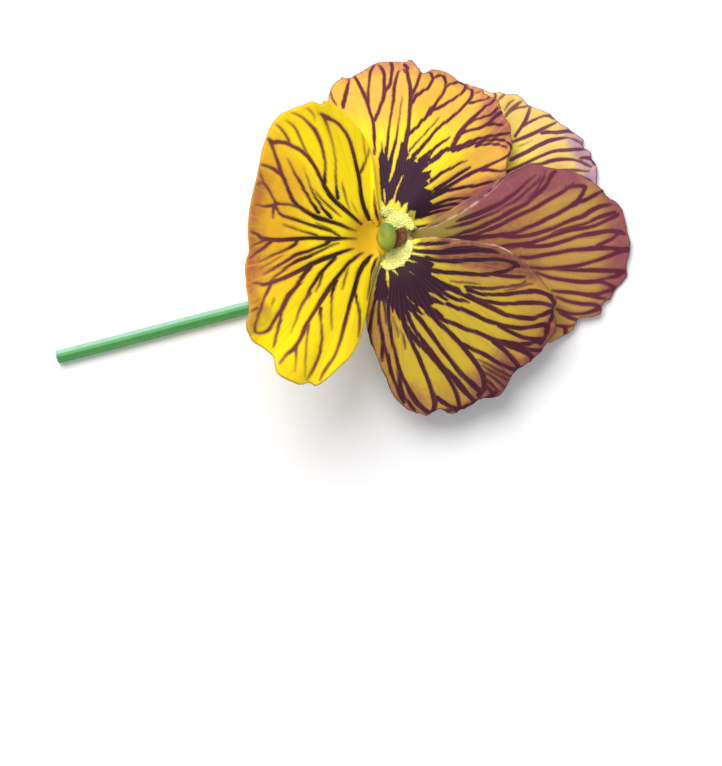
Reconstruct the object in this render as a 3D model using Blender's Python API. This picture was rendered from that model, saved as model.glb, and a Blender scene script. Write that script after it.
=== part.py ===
"""One picked viola bloom with its cut stem, lying face up on a flat surface.

The stem runs along -X, the two top petals along +X, and +Z is up. The surface it lies on is Z = 0,
and the origin is under the middle of the whole piece. The bloom's shapes are worked out in
millimetres from the middle of its throat, and turned into metres when a mesh is made.
"""

import math
from collections import namedtuple

import bmesh
import bpy
from mathutils import Vector

MM = 0.001

# Where the middle of the throat stands, from the origin
THROAT = Vector((5.0, 0.0, 0.0))

# Gap left between pieces that touch on the real flower
CLEARANCE = 0.3

# Petals: sheet thickness, the claw (the narrow foot of a petal), and how soon a petal bends over
PETAL_THICKNESS = 0.6
CLAW_RADIUS = 0.5
CLAW_HEIGHT = 5.85
CLAW_DISTANCE = 1.95
BEND_LENGTH = 0.9
PETAL_COLUMNS = 38
PETAL_ROWS = 11
RUFFLE_FADE = (3.0, 9.0)

# Receptacle: the green knob that carries petals, sepals, stamens and pistil (radius, height)
RECEPTACLE_TOP = 5.6
RECEPTACLE_PROFILE = (
    (0.0, 3.60), (0.75, 3.66), (1.25, 3.95), (1.50, 4.40), (1.55, 4.90),
    (1.45, RECEPTACLE_TOP), (0.0, RECEPTACLE_TOP),
)
RECEPTACLE_SIDES = 20

# Sepals: lance-shaped leaves, each with a short ear that points back along the stem
SEPAL_WIDTH = 2.3
SEPAL_THICKNESS = 0.7
SEPAL_ROOT_RADIUS = 1.1
SEPAL_ROOT_HEIGHT = 4.15
SEPAL_SECTION_SIDES = 8
SEPAL_STEPS = 10
EAR_ROUTE = ((1.15, 4.2), (1.6, 3.85), (1.9, 3.4), (2.0, 2.9))
EAR_HALF_WIDTH = 0.75
EAR_HALF_THICKNESS = 0.34

# Pistil: ovary, bent style and the round stigma on top
PISTIL_ROUTE = (
    (0.0, 0.0, 0.0), (0.02, 0.0, 0.9), (0.05, 0.0, 1.7), (0.0, 0.0, 2.5),
    (-0.15, 0.0, 3.2), (-0.25, 0.0, 4.0),
)
PISTIL_STEPS = 22
PISTIL_SIDES = 16
OVARY_RADIUS = 0.55
STYLE_SHARE = 0.65
STIGMA_HALF_WIDTH = 1.55
STIGMA_HALF_DEPTH = 1.05
STIGMA_MIDDLE = 0.78
STIGMA_HALF_LENGTH = 0.235
STIGMA_CROWN = (0.45, 0.3)

# Stamens: anthers pressed into a ring round the ovary, tips drawn in (radius, height above its foot)
STAMEN_INNER_RADIUS = 0.85
STAMEN_OUTER_RADIUS = 1.22
STAMEN_PROFILE = (
    (STAMEN_INNER_RADIUS, 0.0), (STAMEN_OUTER_RADIUS - 0.1, 0.0), (STAMEN_OUTER_RADIUS, 0.4),
    (STAMEN_OUTER_RADIUS, 1.0), (STAMEN_INNER_RADIUS + 0.12, 1.55), (STAMEN_INNER_RADIUS, 1.6),
)
STAMEN_COUNT = 5
STAMEN_BULGE = 0.09
STAMEN_SIDES = 40

# Stem: five-sided, with a ridge up and a flat side down, and its corners cut round
STEM_RADIUS = 0.82
STEM_SIDES = 20
STEM_CORNER = 0.92
STEM_STEPS = 34
STEM_TURN = 17.0
STEM_REST = STEM_RADIUS * math.cos(math.radians(36.0))
STEM_ROUTE = (
    (-37.0, -12.95, STEM_REST), (-30.0, -11.15, STEM_REST), (-23.0, -9.3, STEM_REST),
    (-16.0, -7.5, STEM_REST + 0.006), (-12.0, -6.35, STEM_REST + 0.03), (-8.0, -4.95, 0.86),
    (-4.8, -3.45, 1.12), (-2.2, -1.95, 1.48), (-0.65, -0.85, 2.0), (-0.1, -0.2, 2.65), (0.0, 0.0, 3.3),
)
BRACT_PLACE = Vector((-8.6, -5.15, 0.95))
BRACT_REACH = Vector((-2.56, 1.5, 0.5))
BRACT_ROOT = 0.35
BRACT_HALF_WIDTH = 0.5
BRACT_HALF_THICKNESS = 0.3

# Spur: the nectar pouch behind the lower petal
SPUR_ROUTE = ((-3.3, 0.0, 7.35), (-3.7, 0.03, 6.5), (-4.4, 0.15, 5.4), (-5.3, 0.4, 4.3), (-6.2, 0.7, 3.5))
SPUR_RADIUS = 1.0
SPUR_SIDES = 12
SPUR_STEPS = 12

Petal = namedtuple("Petal", "name axis claw_distance outline height waves ruffle colour")
Wave = namedtuple("Wave", "count phase size")
Sepal = namedtuple("Sepal", "degrees heights length")


def smoothstep(low, high, value):
    """Rises smoothly from 0 at low to 1 at high."""
    part = min(max((value - low) / (high - low), 0.0), 1.0)
    return part * part * (3.0 - 2.0 * part)


def foot_rise(reach, depth):
    """Height of a petal above its claw: a steep foot that bends over into the blade."""
    return CLAW_HEIGHT + depth * (1.0 - math.exp(-(reach - CLAW_RADIUS) / BEND_LENGTH))


def soft_floor(height, floor, blend):
    """Keeps a height above a floor, with a smooth bend instead of a corner."""
    return 0.5 * (height + floor + math.sqrt((height - floor) ** 2 + blend ** 2))


def lower_height(x, y, reach, angle):
    """The lower petal stands up away from the throat, with both sides lifted a little."""
    away = max(-x - CLAW_DISTANCE, 0.0)
    return foot_rise(reach, 2.7) + 0.85 * away - 0.012 * away ** 2 + 0.006 * y ** 2


def side_upper_height(x, y, reach, angle):
    """The upper side petal is twisted: high beside the lower petal, low where a top petal covers it."""
    depth = 0.3 + 1.9 * smoothstep(-62.0, -12.0, angle)
    fall = 0.33 - 0.13 * smoothstep(-50.0, 50.0, angle)
    return foot_rise(reach, depth) - fall * max(reach - 1.5, 0.0)


def side_lower_height(x, y, reach, angle):
    """The lower side petal falls evenly, above the top petal that it covers."""
    return foot_rise(reach, 2.25) - 0.215 * max(reach - 1.5, 0.0)


def top_front_height(x, y, reach, angle):
    """The front top petal bends back until its outer margin lies on the surface."""
    slope = foot_rise(reach, 1.3) - 0.272 * max(math.hypot(x, y) - 2.5, 0.0) + 0.05 * y
    return soft_floor(slope, 0.37, 0.25)


def top_back_height(x, y, reach, angle):
    """The back top petal drops behind the others and flattens out until its far margin touches."""
    return 0.16 + 4.85 * math.exp(-(math.hypot(x, y) - 1.85) / 8.0) - 0.022 * (y - 9.0)


# Each margin is a few points (degrees from the petal's axis, millimetres from its claw)
LOWER_OUTLINE = (
    (-104, 2.0), (-95, 5.2), (-91, 9.2), (-81, 12.8), (-72, 14.7), (-63, 15.4), (-49, 15.3), (-35, 13.9),
    (-22, 13.0), (-8, 12.6), (8, 13.0), (22, 13.9), (34, 15.4), (46, 16.6), (57, 17.4), (66, 17.8),
    (72, 16.8), (79, 14.2), (85, 10.4), (89, 6.6), (94, 3.8), (104, 2.0),
)
SIDE_UPPER_OUTLINE = (
    (-80, 1.5), (-66, 4.2), (-61, 7.0), (-57, 9.4), (-50, 11.6), (-43, 13.4), (-36, 14.8), (-27, 16.4),
    (-17, 17.2), (-5, 17.1), (8, 17.1), (20, 17.6), (33, 17.2), (45, 16.6), (54, 15.2), (62, 13.0),
    (68, 10.2), (68, 7.4), (67, 5.0), (67, 3.0), (96, 1.3),
)
SIDE_LOWER_OUTLINE = (
    (-94, 1.8), (-74, 3.0), (-61, 5.2), (-53, 7.7), (-44, 9.9), (-36, 12.0), (-30, 14.5), (-22, 16.9),
    (-13, 18.0), (-3, 18.7), (8, 18.9), (17, 18.6), (27, 19.0), (37, 19.1), (45, 18.4), (51, 16.7),
    (57, 14.4), (63, 12.0), (70, 9.0), (77, 6.5), (88, 4.2), (104, 2.3),
)
TOP_FRONT_OUTLINE = (
    (-60, 1.1), (-43, 4.0), (-42, 8.0), (-44, 11.6), (-43, 15.0), (-38, 17.6), (-31, 19.5), (-24, 20.7),
    (-16, 22.5), (-8, 24.4), (2, 25.1), (9, 24.6), (17, 23.0), (24, 20.7), (31, 18.2), (36, 15.9),
    (38, 13.7), (36, 11.2), (33, 8.2), (32, 5.4), (34, 3.2), (58, 1.2),
)
TOP_BACK_OUTLINE = (
    (-66, 1.3), (-40, 4.0), (-36, 7.6), (-38, 12.0), (-38, 16.2), (-32, 19.6), (-25, 21.8), (-17, 22.7),
    (-8, 22.5), (1, 21.4), (11, 20.4), (21, 19.2), (30, 18.1), (38, 16.6), (44, 14.2), (45, 11.0),
    (42, 7.2), (42, 4.0), (66, 1.3),
)

# Waves notch a margin in its own plane, and a ruffle lifts and drops it
LOWER = Petal(
    "petal_lower", 180.0, CLAW_DISTANCE, LOWER_OUTLINE, lower_height,
    (Wave(9, 0.4, 0.010), Wave(15, 1.9, 0.008)), Wave(6, 0.9, 0.45), (0.88, 0.62, 0.03))
SIDE_UPPER = Petal(
    "petal_side_upper", 65.0, CLAW_DISTANCE, SIDE_UPPER_OUTLINE, side_upper_height,
    (Wave(8, 1.3, 0.010), Wave(14, 0.2, 0.008)), Wave(5, 2.2, 0.35), (0.66, 0.30, 0.06))
SIDE_LOWER = Petal(
    "petal_side_lower", -62.0, CLAW_DISTANCE, SIDE_LOWER_OUTLINE, side_lower_height,
    (Wave(9, 2.6, 0.010), Wave(15, 0.8, 0.008)), Wave(6, 0.3, 0.35), (0.62, 0.26, 0.07))
TOP_FRONT = Petal(
    "petal_top_front", -5.0, CLAW_DISTANCE, TOP_FRONT_OUTLINE, top_front_height,
    (Wave(9, 0.9, 0.008), Wave(15, 2.4, 0.008)), Wave(6, 1.2, 0.22), (0.50, 0.22, 0.10))
TOP_BACK = Petal(
    "petal_top_back", 32.0, 1.75, TOP_BACK_OUTLINE, top_back_height,
    (Wave(8, 2.0, 0.008), Wave(15, 1.1, 0.008)), Wave(6, 2.9, 0.12), (0.80, 0.55, 0.14))
OTHER_PETALS = (SIDE_UPPER, SIDE_LOWER, TOP_FRONT, TOP_BACK)

# Direction of each sepal, its heights from root to tip, and its length
SEPALS = (
    Sepal(9.0, (SEPAL_ROOT_HEIGHT, 3.5, 2.7, 2.0, 1.45, 1.05), 8.0),
    Sepal(55.0, (SEPAL_ROOT_HEIGHT, 3.5, 2.75, 2.1, 1.6, 1.3), 7.6),
    Sepal(127.0, (SEPAL_ROOT_HEIGHT, 4.25, 4.35, 4.4, 4.4, 4.3), 8.2),
    Sepal(-124.0, (SEPAL_ROOT_HEIGHT, 4.3, 4.45, 4.5, 4.5, 4.4), 8.2),
    Sepal(-40.0, (SEPAL_ROOT_HEIGHT, 3.95, 3.65, 3.3, 2.9, 2.5), 8.0),
)


def clear_scene():
    """Removes whatever the scene holds."""
    for item in list(bpy.data.objects):
        bpy.data.objects.remove(item, do_unlink=True)


def make_material(name, colour, roughness):
    """A plain surface in one colour."""
    material = bpy.data.materials.new(name)
    material.use_nodes = True
    shader = material.node_tree.nodes["Principled BSDF"]
    shader.inputs["Base Color"].default_value = (*colour, 1.0)
    shader.inputs["Roughness"].default_value = roughness
    shader.inputs["Metallic"].default_value = 0.0
    return material


def make_object(name, shape, material, collection=None):
    """Turns a bmesh whose points are millimetres from the throat into an object in metres."""
    for vertex in shape.verts:
        vertex.co = (vertex.co + THROAT) * MM
    mesh = bpy.data.meshes.new(name)
    shape.to_mesh(mesh)
    shape.free()
    mesh.shade_smooth()
    mesh.set_sharp_from_angle(angle=math.radians(50.0))
    mesh.materials.append(material)
    item = bpy.data.objects.new(name, mesh)
    (collection or bpy.context.scene.collection).objects.link(item)
    return item


def new_parts(name):
    """A collection for pieces that are about to be fused into one."""
    parts = bpy.data.collections.new(name)
    bpy.context.scene.collection.children.link(parts)
    return parts


def fuse(item, parts):
    """Fuses a collection of pieces into the item with one Boolean, applies it and removes the pieces."""
    union = item.modifiers.new("union", "BOOLEAN")
    union.operation = "UNION"
    union.operand_type = "COLLECTION"
    union.collection = parts
    union.solver = "EXACT"
    graph = bpy.context.evaluated_depsgraph_get()
    fused = bpy.data.meshes.new_from_object(item.evaluated_get(graph))
    item.modifiers.clear()
    item.data = fused
    for extra in list(parts.objects):
        bpy.data.objects.remove(extra, do_unlink=True)
    bpy.data.collections.remove(parts)


def smooth_point(points, part):
    """A point on the smooth curve through some points; part runs from 0 at the first to 1 at the last."""
    place = part * (len(points) - 1)
    first = min(int(place), len(points) - 2)
    step = place - first
    before = points[max(first - 1, 0)]
    after = points[min(first + 2, len(points) - 1)]
    result = []
    for a, b, c, d in zip(before, points[first], points[first + 1], after):
        bend = (2 * a - 5 * b + 4 * c - d) * step + (3 * b - a - 3 * c + d) * step ** 2
        result.append(b + 0.5 * step * (c - a + bend))
    return result


def skin(shape, rings):
    """Closes the wall between neighbouring rings of points, then splits it into outward triangles."""
    for first, second in zip(rings, rings[1:]):
        for k in range(max(len(first), len(second))):
            corners = (first[k % len(first)], first[(k + 1) % len(first)],
                       second[(k + 1) % len(second)], second[k % len(second)])
            shape.faces.new(list(dict.fromkeys(corners)))
    bmesh.ops.triangulate(shape, faces=shape.faces)
    bmesh.ops.recalc_face_normals(shape, faces=shape.faces)
    return shape


def turned_ring(shape, radius, height, sides, bulge=0.0, lobes=0):
    """A ring of points round the throat's axis, or its one middle point where the radius is 0."""
    if radius == 0.0:
        return [shape.verts.new((0.0, 0.0, height))]
    ring = []
    for k in range(sides):
        angle = 2.0 * math.pi * k / sides
        reach = radius + bulge * math.cos(lobes * angle)
        ring.append(shape.verts.new((reach * math.cos(angle), reach * math.sin(angle), height)))
    return ring


def loft(route, side_hint, half_sizes, section, steps):
    """A closed body along a smooth route.

    half_sizes gives its half width and half thickness at each part of the route, and section lists
    the points of its outline as shares of those.
    """
    shape = bmesh.new()
    rings = []
    for step in range(steps + 1):
        part = step / steps
        centre = Vector(smooth_point(route, part))
        ahead = Vector(smooth_point(route, min(part + 0.01, 1.0)))
        behind = Vector(smooth_point(route, max(part - 0.01, 0.0)))
        tangent = (ahead - behind).normalized()
        up = tangent.cross(side_hint).normalized()
        side = up.cross(tangent)
        half_width, half_thickness = half_sizes(part)
        ring = []
        for across, above in section:
            offset = side * (across * half_width) + up * (above * half_thickness)
            ring.append(shape.verts.new(centre + offset))
        rings.append(ring)
    shape.faces.new(rings[0])
    shape.faces.new(rings[-1])
    return skin(shape, rings)


def round_section(sides):
    """A circle of the given number of sides."""
    angles = [2.0 * math.pi * k / sides for k in range(sides)]
    return [(math.cos(angle), math.sin(angle)) for angle in angles]


def five_sided_section(sides):
    """A pentagon with its corners cut round, one corner up and one side flat underneath."""
    points = []
    for k in range(sides):
        degrees = 360.0 * k / sides - 90.0
        from_flat = (degrees + 90.0 + 36.0) % 72.0 - 36.0
        radius = min(math.cos(math.radians(36.0)) / math.cos(math.radians(from_flat)), STEM_CORNER)
        points.append((radius * math.cos(math.radians(degrees)), radius * math.sin(math.radians(degrees))))
    return points


def petal_point(petal, across, along):
    """A point of a petal's middle surface: across runs round the margin, along from the claw outwards."""
    degrees, radius = smooth_point(petal.outline, across)
    for wave in petal.waves:
        radius *= 1.0 + wave.size * math.sin(2.0 * math.pi * wave.count * across + wave.phase)
    reach = CLAW_RADIUS + (radius - CLAW_RADIUS) * along
    axis = math.radians(petal.axis)
    direction = math.radians(petal.axis + degrees)
    x = petal.claw_distance * math.cos(axis) + reach * math.cos(direction)
    y = petal.claw_distance * math.sin(axis) + reach * math.sin(direction)
    ruffle = petal.ruffle
    lift = ruffle.size * along ** 3 * math.sin(2.0 * math.pi * ruffle.count * across + ruffle.phase)
    return Vector((x, y, petal.height(x, y, reach, degrees) + lift * smoothstep(*RUFFLE_FADE, radius)))


def make_petal(petal):
    """A petal: a grid shaped by petal_point, split into triangles and given its thickness."""
    shape = bmesh.new()
    bmesh.ops.create_grid(shape, x_segments=PETAL_COLUMNS, y_segments=PETAL_ROWS, size=0.5)
    for vertex in shape.verts:
        vertex.co = petal_point(petal, vertex.co.x + 0.5, vertex.co.y + 0.5)
    bmesh.ops.triangulate(shape, faces=shape.faces)
    bmesh.ops.reverse_faces(shape, faces=shape.faces)
    item = make_object(petal.name, shape, make_material(petal.name, petal.colour, 0.6))
    solidify = item.modifiers.new("thickness", "SOLIDIFY")
    solidify.thickness = PETAL_THICKNESS * MM
    solidify.offset = 0.0
    return item


def make_spurred_petal(petal):
    """The lower petal with its spur fused on."""
    blade = make_petal(petal)
    pouch = new_parts("pouch")

    def half_sizes(part):
        """A neck that widens from the petal, and a round end."""
        neck = 0.3 + 0.7 * math.sqrt(smoothstep(0.0, 0.45, part))
        end = math.sqrt(max(1.0 - max((part - 0.7) / 0.3, 0.0) ** 2, 0.04))
        return SPUR_RADIUS * neck * end, SPUR_RADIUS * neck * end

    spur = loft(SPUR_ROUTE, Vector((0.0, 1.0, 0.0)), half_sizes, round_section(SPUR_SIDES), SPUR_STEPS)
    make_object("spur", spur, blade.data.materials[0], pouch)
    fuse(blade, pouch)


def sepal_half_sizes(part):
    """A lance shape: a narrow foot, the widest place a third of the way out, and a sharp tip."""
    width = 0.55 + 0.45 * smoothstep(0.0, 0.3, part) - 0.93 * smoothstep(0.3, 1.0, part)
    return SEPAL_WIDTH / 2.0 * width, SEPAL_THICKNESS / 2.0 * (1.0 - 0.45 * part)


def ear_half_sizes(part):
    """A blunt flap that narrows a little."""
    return EAR_HALF_WIDTH - 0.25 * part, EAR_HALF_THICKNESS - 0.08 * part


def make_calyx():
    """The receptacle with its sepals and their ears, fused into one piece."""
    green = make_material("calyx", (0.16, 0.34, 0.08), 0.5)
    knob = bmesh.new()
    rings = [turned_ring(knob, radius, height, RECEPTACLE_SIDES) for radius, height in RECEPTACLE_PROFILE]
    calyx = make_object("calyx", skin(knob, rings), green)
    leaves = new_parts("leaves")
    section = round_section(SEPAL_SECTION_SIDES)
    for sepal in SEPALS:
        angle = math.radians(sepal.degrees)
        outward = Vector((math.cos(angle), math.sin(angle), 0.0))
        side = Vector((-math.sin(angle), math.cos(angle), 0.0))
        last = len(sepal.heights) - 1
        route = []
        for k, height in enumerate(sepal.heights):
            route.append(outward * (SEPAL_ROOT_RADIUS + sepal.length * k / last) + Vector((0.0, 0.0, height)))
        make_object("sepal", loft(route, side, sepal_half_sizes, section, SEPAL_STEPS), green, leaves)
        ear = [outward * radius + Vector((0.0, 0.0, height)) for radius, height in EAR_ROUTE]
        make_object("ear", loft(ear, side, ear_half_sizes, section, 4), green, leaves)
    fuse(calyx, leaves)


def pistil_half_sizes(part):
    """A plump ovary, a thinner style and the wide stigma, which closes in a small flat crown."""
    if part == 1.0:
        return STIGMA_CROWN
    ovary = OVARY_RADIUS * (0.75 + 0.25 * math.sin(math.pi * min(part / 0.45, 1.0)))
    stalk = ovary * (1.0 - (1.0 - STYLE_SHARE) * smoothstep(0.3, 0.55, part))
    head = math.sqrt(max(1.0 - ((part - STIGMA_MIDDLE) / STIGMA_HALF_LENGTH) ** 2, 0.0))
    return max(stalk, STIGMA_HALF_WIDTH * head), max(stalk, STIGMA_HALF_DEPTH * head)


def make_pistil():
    """Ovary, style and stigma as one body, standing on the receptacle."""
    foot = RECEPTACLE_TOP + CLEARANCE
    route = [(x, y, foot + height) for x, y, height in PISTIL_ROUTE]
    side = Vector((0.0, 1.0, 0.0))
    body = loft(route, side, pistil_half_sizes, round_section(PISTIL_SIDES), PISTIL_STEPS)
    make_object("pistil", body, make_material("pistil", (0.32, 0.42, 0.08), 0.45))


def make_stamens():
    """The ring of anthers, with one bulge for each."""
    foot = RECEPTACLE_TOP + CLEARANCE
    thickness = STAMEN_OUTER_RADIUS - STAMEN_INNER_RADIUS
    shape = bmesh.new()
    rings = []
    for radius, height in STAMEN_PROFILE:
        bulge = STAMEN_BULGE * (radius - STAMEN_INNER_RADIUS) / thickness
        rings.append(turned_ring(shape, radius, foot + height, STAMEN_SIDES, bulge, STAMEN_COUNT))
    make_object("stamens", skin(shape, rings + rings[:1]), make_material("stamens", (0.34, 0.15, 0.05), 0.6))


def stem_half_sizes(part):
    """Full thickness from the rounded cut end on, and slimmer at the crook."""
    rounding = 0.72 + 0.28 * smoothstep(0.0, 0.02, part)
    slimming = 1.0 - 0.27 * smoothstep(0.72, 1.0, part)
    return STEM_RADIUS * rounding * slimming, STEM_RADIUS * rounding * slimming


def bract_half_sizes(part):
    """A thin scale that narrows to a point."""
    return BRACT_HALF_THICKNESS, BRACT_HALF_WIDTH * (1.0 - 0.84 * part)


def make_stem():
    """The cut stem with its crook, and a pair of small bracts fused on."""
    green = make_material("stem", (0.12, 0.36, 0.12), 0.45)
    turn = math.radians(STEM_TURN)
    forward = Vector((math.cos(turn), math.sin(turn), 0.0))
    side = Vector((-math.sin(turn), math.cos(turn), 0.0))
    body = loft(STEM_ROUTE, side, stem_half_sizes, five_sided_section(STEM_SIDES), STEM_STEPS)
    stem = make_object("stem", body, green)
    bracts = new_parts("bracts")
    up = Vector((0.0, 0.0, 1.0))
    for sense in (-1.0, 1.0):
        route = []
        for part in (0.0, 0.25, 0.5, 0.75, 1.0):
            outward = side * (sense * (BRACT_ROOT + BRACT_REACH.y * part))
            along = forward * (BRACT_REACH.x * part) + up * (BRACT_REACH.z * part)
            route.append(BRACT_PLACE + outward + along)
        leaf = loft(route, up, bract_half_sizes, round_section(SEPAL_SECTION_SIDES), 6)
        make_object("bract", leaf, green, bracts)
    fuse(stem, bracts)


def main():
    clear_scene()
    make_spurred_petal(LOWER)
    for petal in OTHER_PETALS:
        make_petal(petal)
    make_calyx()
    make_pistil()
    make_stamens()
    make_stem()


main()
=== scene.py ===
"""Looks of a picked viola flower, built round its CAD frame and laid out as a Blender add-on.

Every shape is worked out in millimetres from the middle of the flower's throat, in the CAD row's
directions: the stem runs along -X, the two top petals along +X, and +Z is up.
"""

import math
from collections import namedtuple

import bpy
import numpy as np
from bpy.props import FloatProperty, FloatVectorProperty, IntProperty, PointerProperty
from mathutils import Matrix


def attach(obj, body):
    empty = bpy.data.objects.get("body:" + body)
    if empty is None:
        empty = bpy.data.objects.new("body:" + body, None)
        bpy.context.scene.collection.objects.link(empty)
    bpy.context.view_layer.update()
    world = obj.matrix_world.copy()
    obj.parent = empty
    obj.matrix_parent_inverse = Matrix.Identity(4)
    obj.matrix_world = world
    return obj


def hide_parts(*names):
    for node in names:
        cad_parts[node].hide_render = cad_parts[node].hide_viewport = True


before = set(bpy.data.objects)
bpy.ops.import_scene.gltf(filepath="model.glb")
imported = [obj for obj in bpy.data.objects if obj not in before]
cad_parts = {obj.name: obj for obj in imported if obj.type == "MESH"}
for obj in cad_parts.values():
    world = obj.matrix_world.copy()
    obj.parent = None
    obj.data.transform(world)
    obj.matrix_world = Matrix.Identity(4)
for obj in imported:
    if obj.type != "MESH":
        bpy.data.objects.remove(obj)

bl_info = {
    "name": "Picked viola flower",
    "version": (1, 0, 0),
    "blender": (4, 5, 0),
    "location": "3D View > Sidebar > Viola",
    "description": "Petals, beards, throat, calyx and stem of one viola bloom lying on a table",
    "category": "Add Mesh",
}

MM = 0.001
UP = np.array((0.0, 0.0, 1.0))
THROAT = np.array((5.0, 0.0, 0.0))

# About how many pairs of point and vein step are measured at once
BATCH = 400000

# The camera looks straight down, so a pixel of the picture is a place on the flower. PIXEL is its size at
# a height of 5 mm, and the rounds are those in which a pixel's height and place are made to agree.
CAMERA_PLACE = (2.077, -15.808, 260.0)
PICTURE_MIDDLE = (361.5, 383.5)
PIXEL = 0.11
PIXEL_HEIGHT = 5.0
PICTURE_ROUNDS = 12

# The claw is the narrow foot of a petal, and FOOT_RADIUS is where the lobe that it spreads into starts
CLAW_RADIUS = 0.5
CLAW_HEIGHT = 5.85
CLAW_DISTANCE = 1.95
TOP_BACK_CLAW_DISTANCE = 1.75
FOOT_RADIUS = 1.15
BEND_LENGTH = 0.9
TOP_FRONT_FLOOR = 0.37
TOP_FRONT_BLEND = 0.25
RUFFLE_FADE = (3.0, 9.0)

Petal = namedtuple("Petal", "name axis claw_distance margin height waves ruffle nicks seed")
Margin = namedtuple("Margin", "start crop seen end")
Crop = namedtuple("Crop", "left top zoom")
Wave = namedtuple("Wave", "count phase size")
Wash = namedtuple("Wash", "tint degrees spread near far strength")


def smoothstep(low, high, value):
    """Rises from 0 at low to 1 at high along 3t² − 2t³."""
    part = np.clip((value - low) / (high - low), 0.0, 1.0)
    return part * part * (3.0 - 2.0 * part)


def linear(code):
    """An sRGB hex colour as linear red, green and blue."""
    shares = [int(code[k:k + 2], 16) / 255.0 for k in (1, 3, 5)]
    return tuple(s / 12.92 if s <= 0.04045 else ((s + 0.055) / 1.055) ** 2.4 for s in shares)


def foot_rise(reach, depth):
    """Height above the claw: depth·(1 − e^(−(reach − claw radius)/bend length))."""
    return CLAW_HEIGHT + depth * (1.0 - np.exp(-(reach - CLAW_RADIUS) / BEND_LENGTH))


def lower_height(x, y, reach, degrees):
    """The lower petal stands up away from the throat, with both sides lifted a little."""
    away = np.maximum(-x - CLAW_DISTANCE, 0.0)
    return foot_rise(reach, 2.7) + 0.85 * away - 0.012 * away ** 2 + 0.006 * y ** 2


def side_upper_height(x, y, reach, degrees):
    """The upper side petal is twisted: high beside the lower petal, low where a top petal covers it."""
    depth = 0.3 + 1.9 * smoothstep(-62.0, -12.0, degrees)
    fall = 0.33 - 0.13 * smoothstep(-50.0, 50.0, degrees)
    return foot_rise(reach, depth) - fall * np.maximum(reach - 1.5, 0.0)


def side_lower_height(x, y, reach, degrees):
    """The lower side petal falls evenly outwards."""
    return foot_rise(reach, 2.25) - 0.215 * np.maximum(reach - 1.5, 0.0)


def top_front_height(x, y, reach, degrees):
    """The front top petal falls to a soft floor f: half of (h + f + √((h − f)² + blend²))."""
    slope = foot_rise(reach, 1.3) - 0.272 * np.maximum(np.hypot(x, y) - 2.5, 0.0) + 0.05 * y
    return 0.5 * (slope + TOP_FRONT_FLOOR + np.hypot(slope - TOP_FRONT_FLOOR, TOP_FRONT_BLEND))


def top_back_height(x, y, reach, degrees):
    """The back top petal drops behind the others along e^(−distance/8), and a little more towards +y."""
    return 0.16 + 4.85 * np.exp(-(np.hypot(x, y) - 1.85) / 8.0) - 0.022 * (y - 9.0)


# A margin starts and ends hidden, as points (degrees from the petal's axis, millimetres from its claw).
# Its seen stretch was read on an enlarged crop of the picture, as (across, down) in the crop's
# pixels. A crop is given by its corner in the picture and its enlargement.
LOWER = Petal(
    "petal_lower", 180.0, CLAW_DISTANCE,
    Margin(
        ((-126, 1.9), (-113, 2.8), (-103, 3.9), (-96.5, 5.8), (-91, 9.2), (-81, 12.8), (-72, 14.7)),
        Crop(235, 95, 7.467),
        ((640, 62), (575, 55), (500, 80), (310, 190), (248, 238), (215, 430), (150, 680), (100, 1100),
         (72, 1240), (98, 1380), (98, 1600), (85, 1725), (110, 1803), (180, 1863), (270, 1973),
         (330, 2073), (430, 2148), (500, 2168), (560, 2168), (640, 2148), (800, 2033), (870, 1953),
         (945, 1798)),
        ((89, 6.6), (94.5, 4.1), (103, 3.2), (112, 2.7), (124, 1.9))),
    lower_height, (Wave(10.2, 2.91, 0.010), Wave(17, 1.9, 0.008)), Wave(6.8, -1.61, 0.45), 0.5, 3)
SIDE_UPPER = Petal(
    "petal_side_upper", 65.0, CLAW_DISTANCE,
    Margin(
        ((-80, 1.5), (-66, 4.2), (-61, 7), (-57, 9.4), (-50, 11.6), (-43, 13.2)),
        Crop(310, 50, 7.467),
        ((1490, 830), (1505, 740), (1508, 650), (1500, 560), (1460, 480), (1400, 410), (1330, 345),
         (1290, 295), (1175, 250), (1050, 198), (910, 153), (840, 158), (755, 84), (700, 98), (470, 115),
         (310, 187), (230, 235), (160, 300)),
        ((54, 15.2), (62, 13), (68, 10.2), (68, 7.4), (67, 5), (67, 3), (96, 1.3))),
    side_upper_height, (Wave(8, 1.3, 0.010), Wave(14, 0.2, 0.008)), Wave(5, 2.2, 0.35), 1.0, 5)
SIDE_LOWER = Petal(
    "petal_side_lower", -62.0, CLAW_DISTANCE,
    Margin(
        ((-94, 1.8), (-74, 3), (-61, 5.2), (-53, 7.7)),
        Crop(360, 225, 7.467),
        ((75, 860), (100, 930), (150, 1035), (192, 1134), (240, 1270), (380, 1390), (470, 1410),
         (540, 1412), (620, 1395), (700, 1400), (770, 1385), (880, 1325), (960, 1300), (1060, 1240),
         (1180, 1110), (1300, 1000), (1430, 840), (1460, 760), (1470, 640), (1460, 560), (1420, 490),
         (1340, 380), (1250, 290), (1050, 170), (900, 130)),
        ((77, 6.5), (88, 4.2), (104, 2.3))),
    side_lower_height, (Wave(9, 2.6, 0.010), Wave(15, 0.8, 0.008)), Wave(6, 0.3, 0.35), 0.9, 8)
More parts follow.
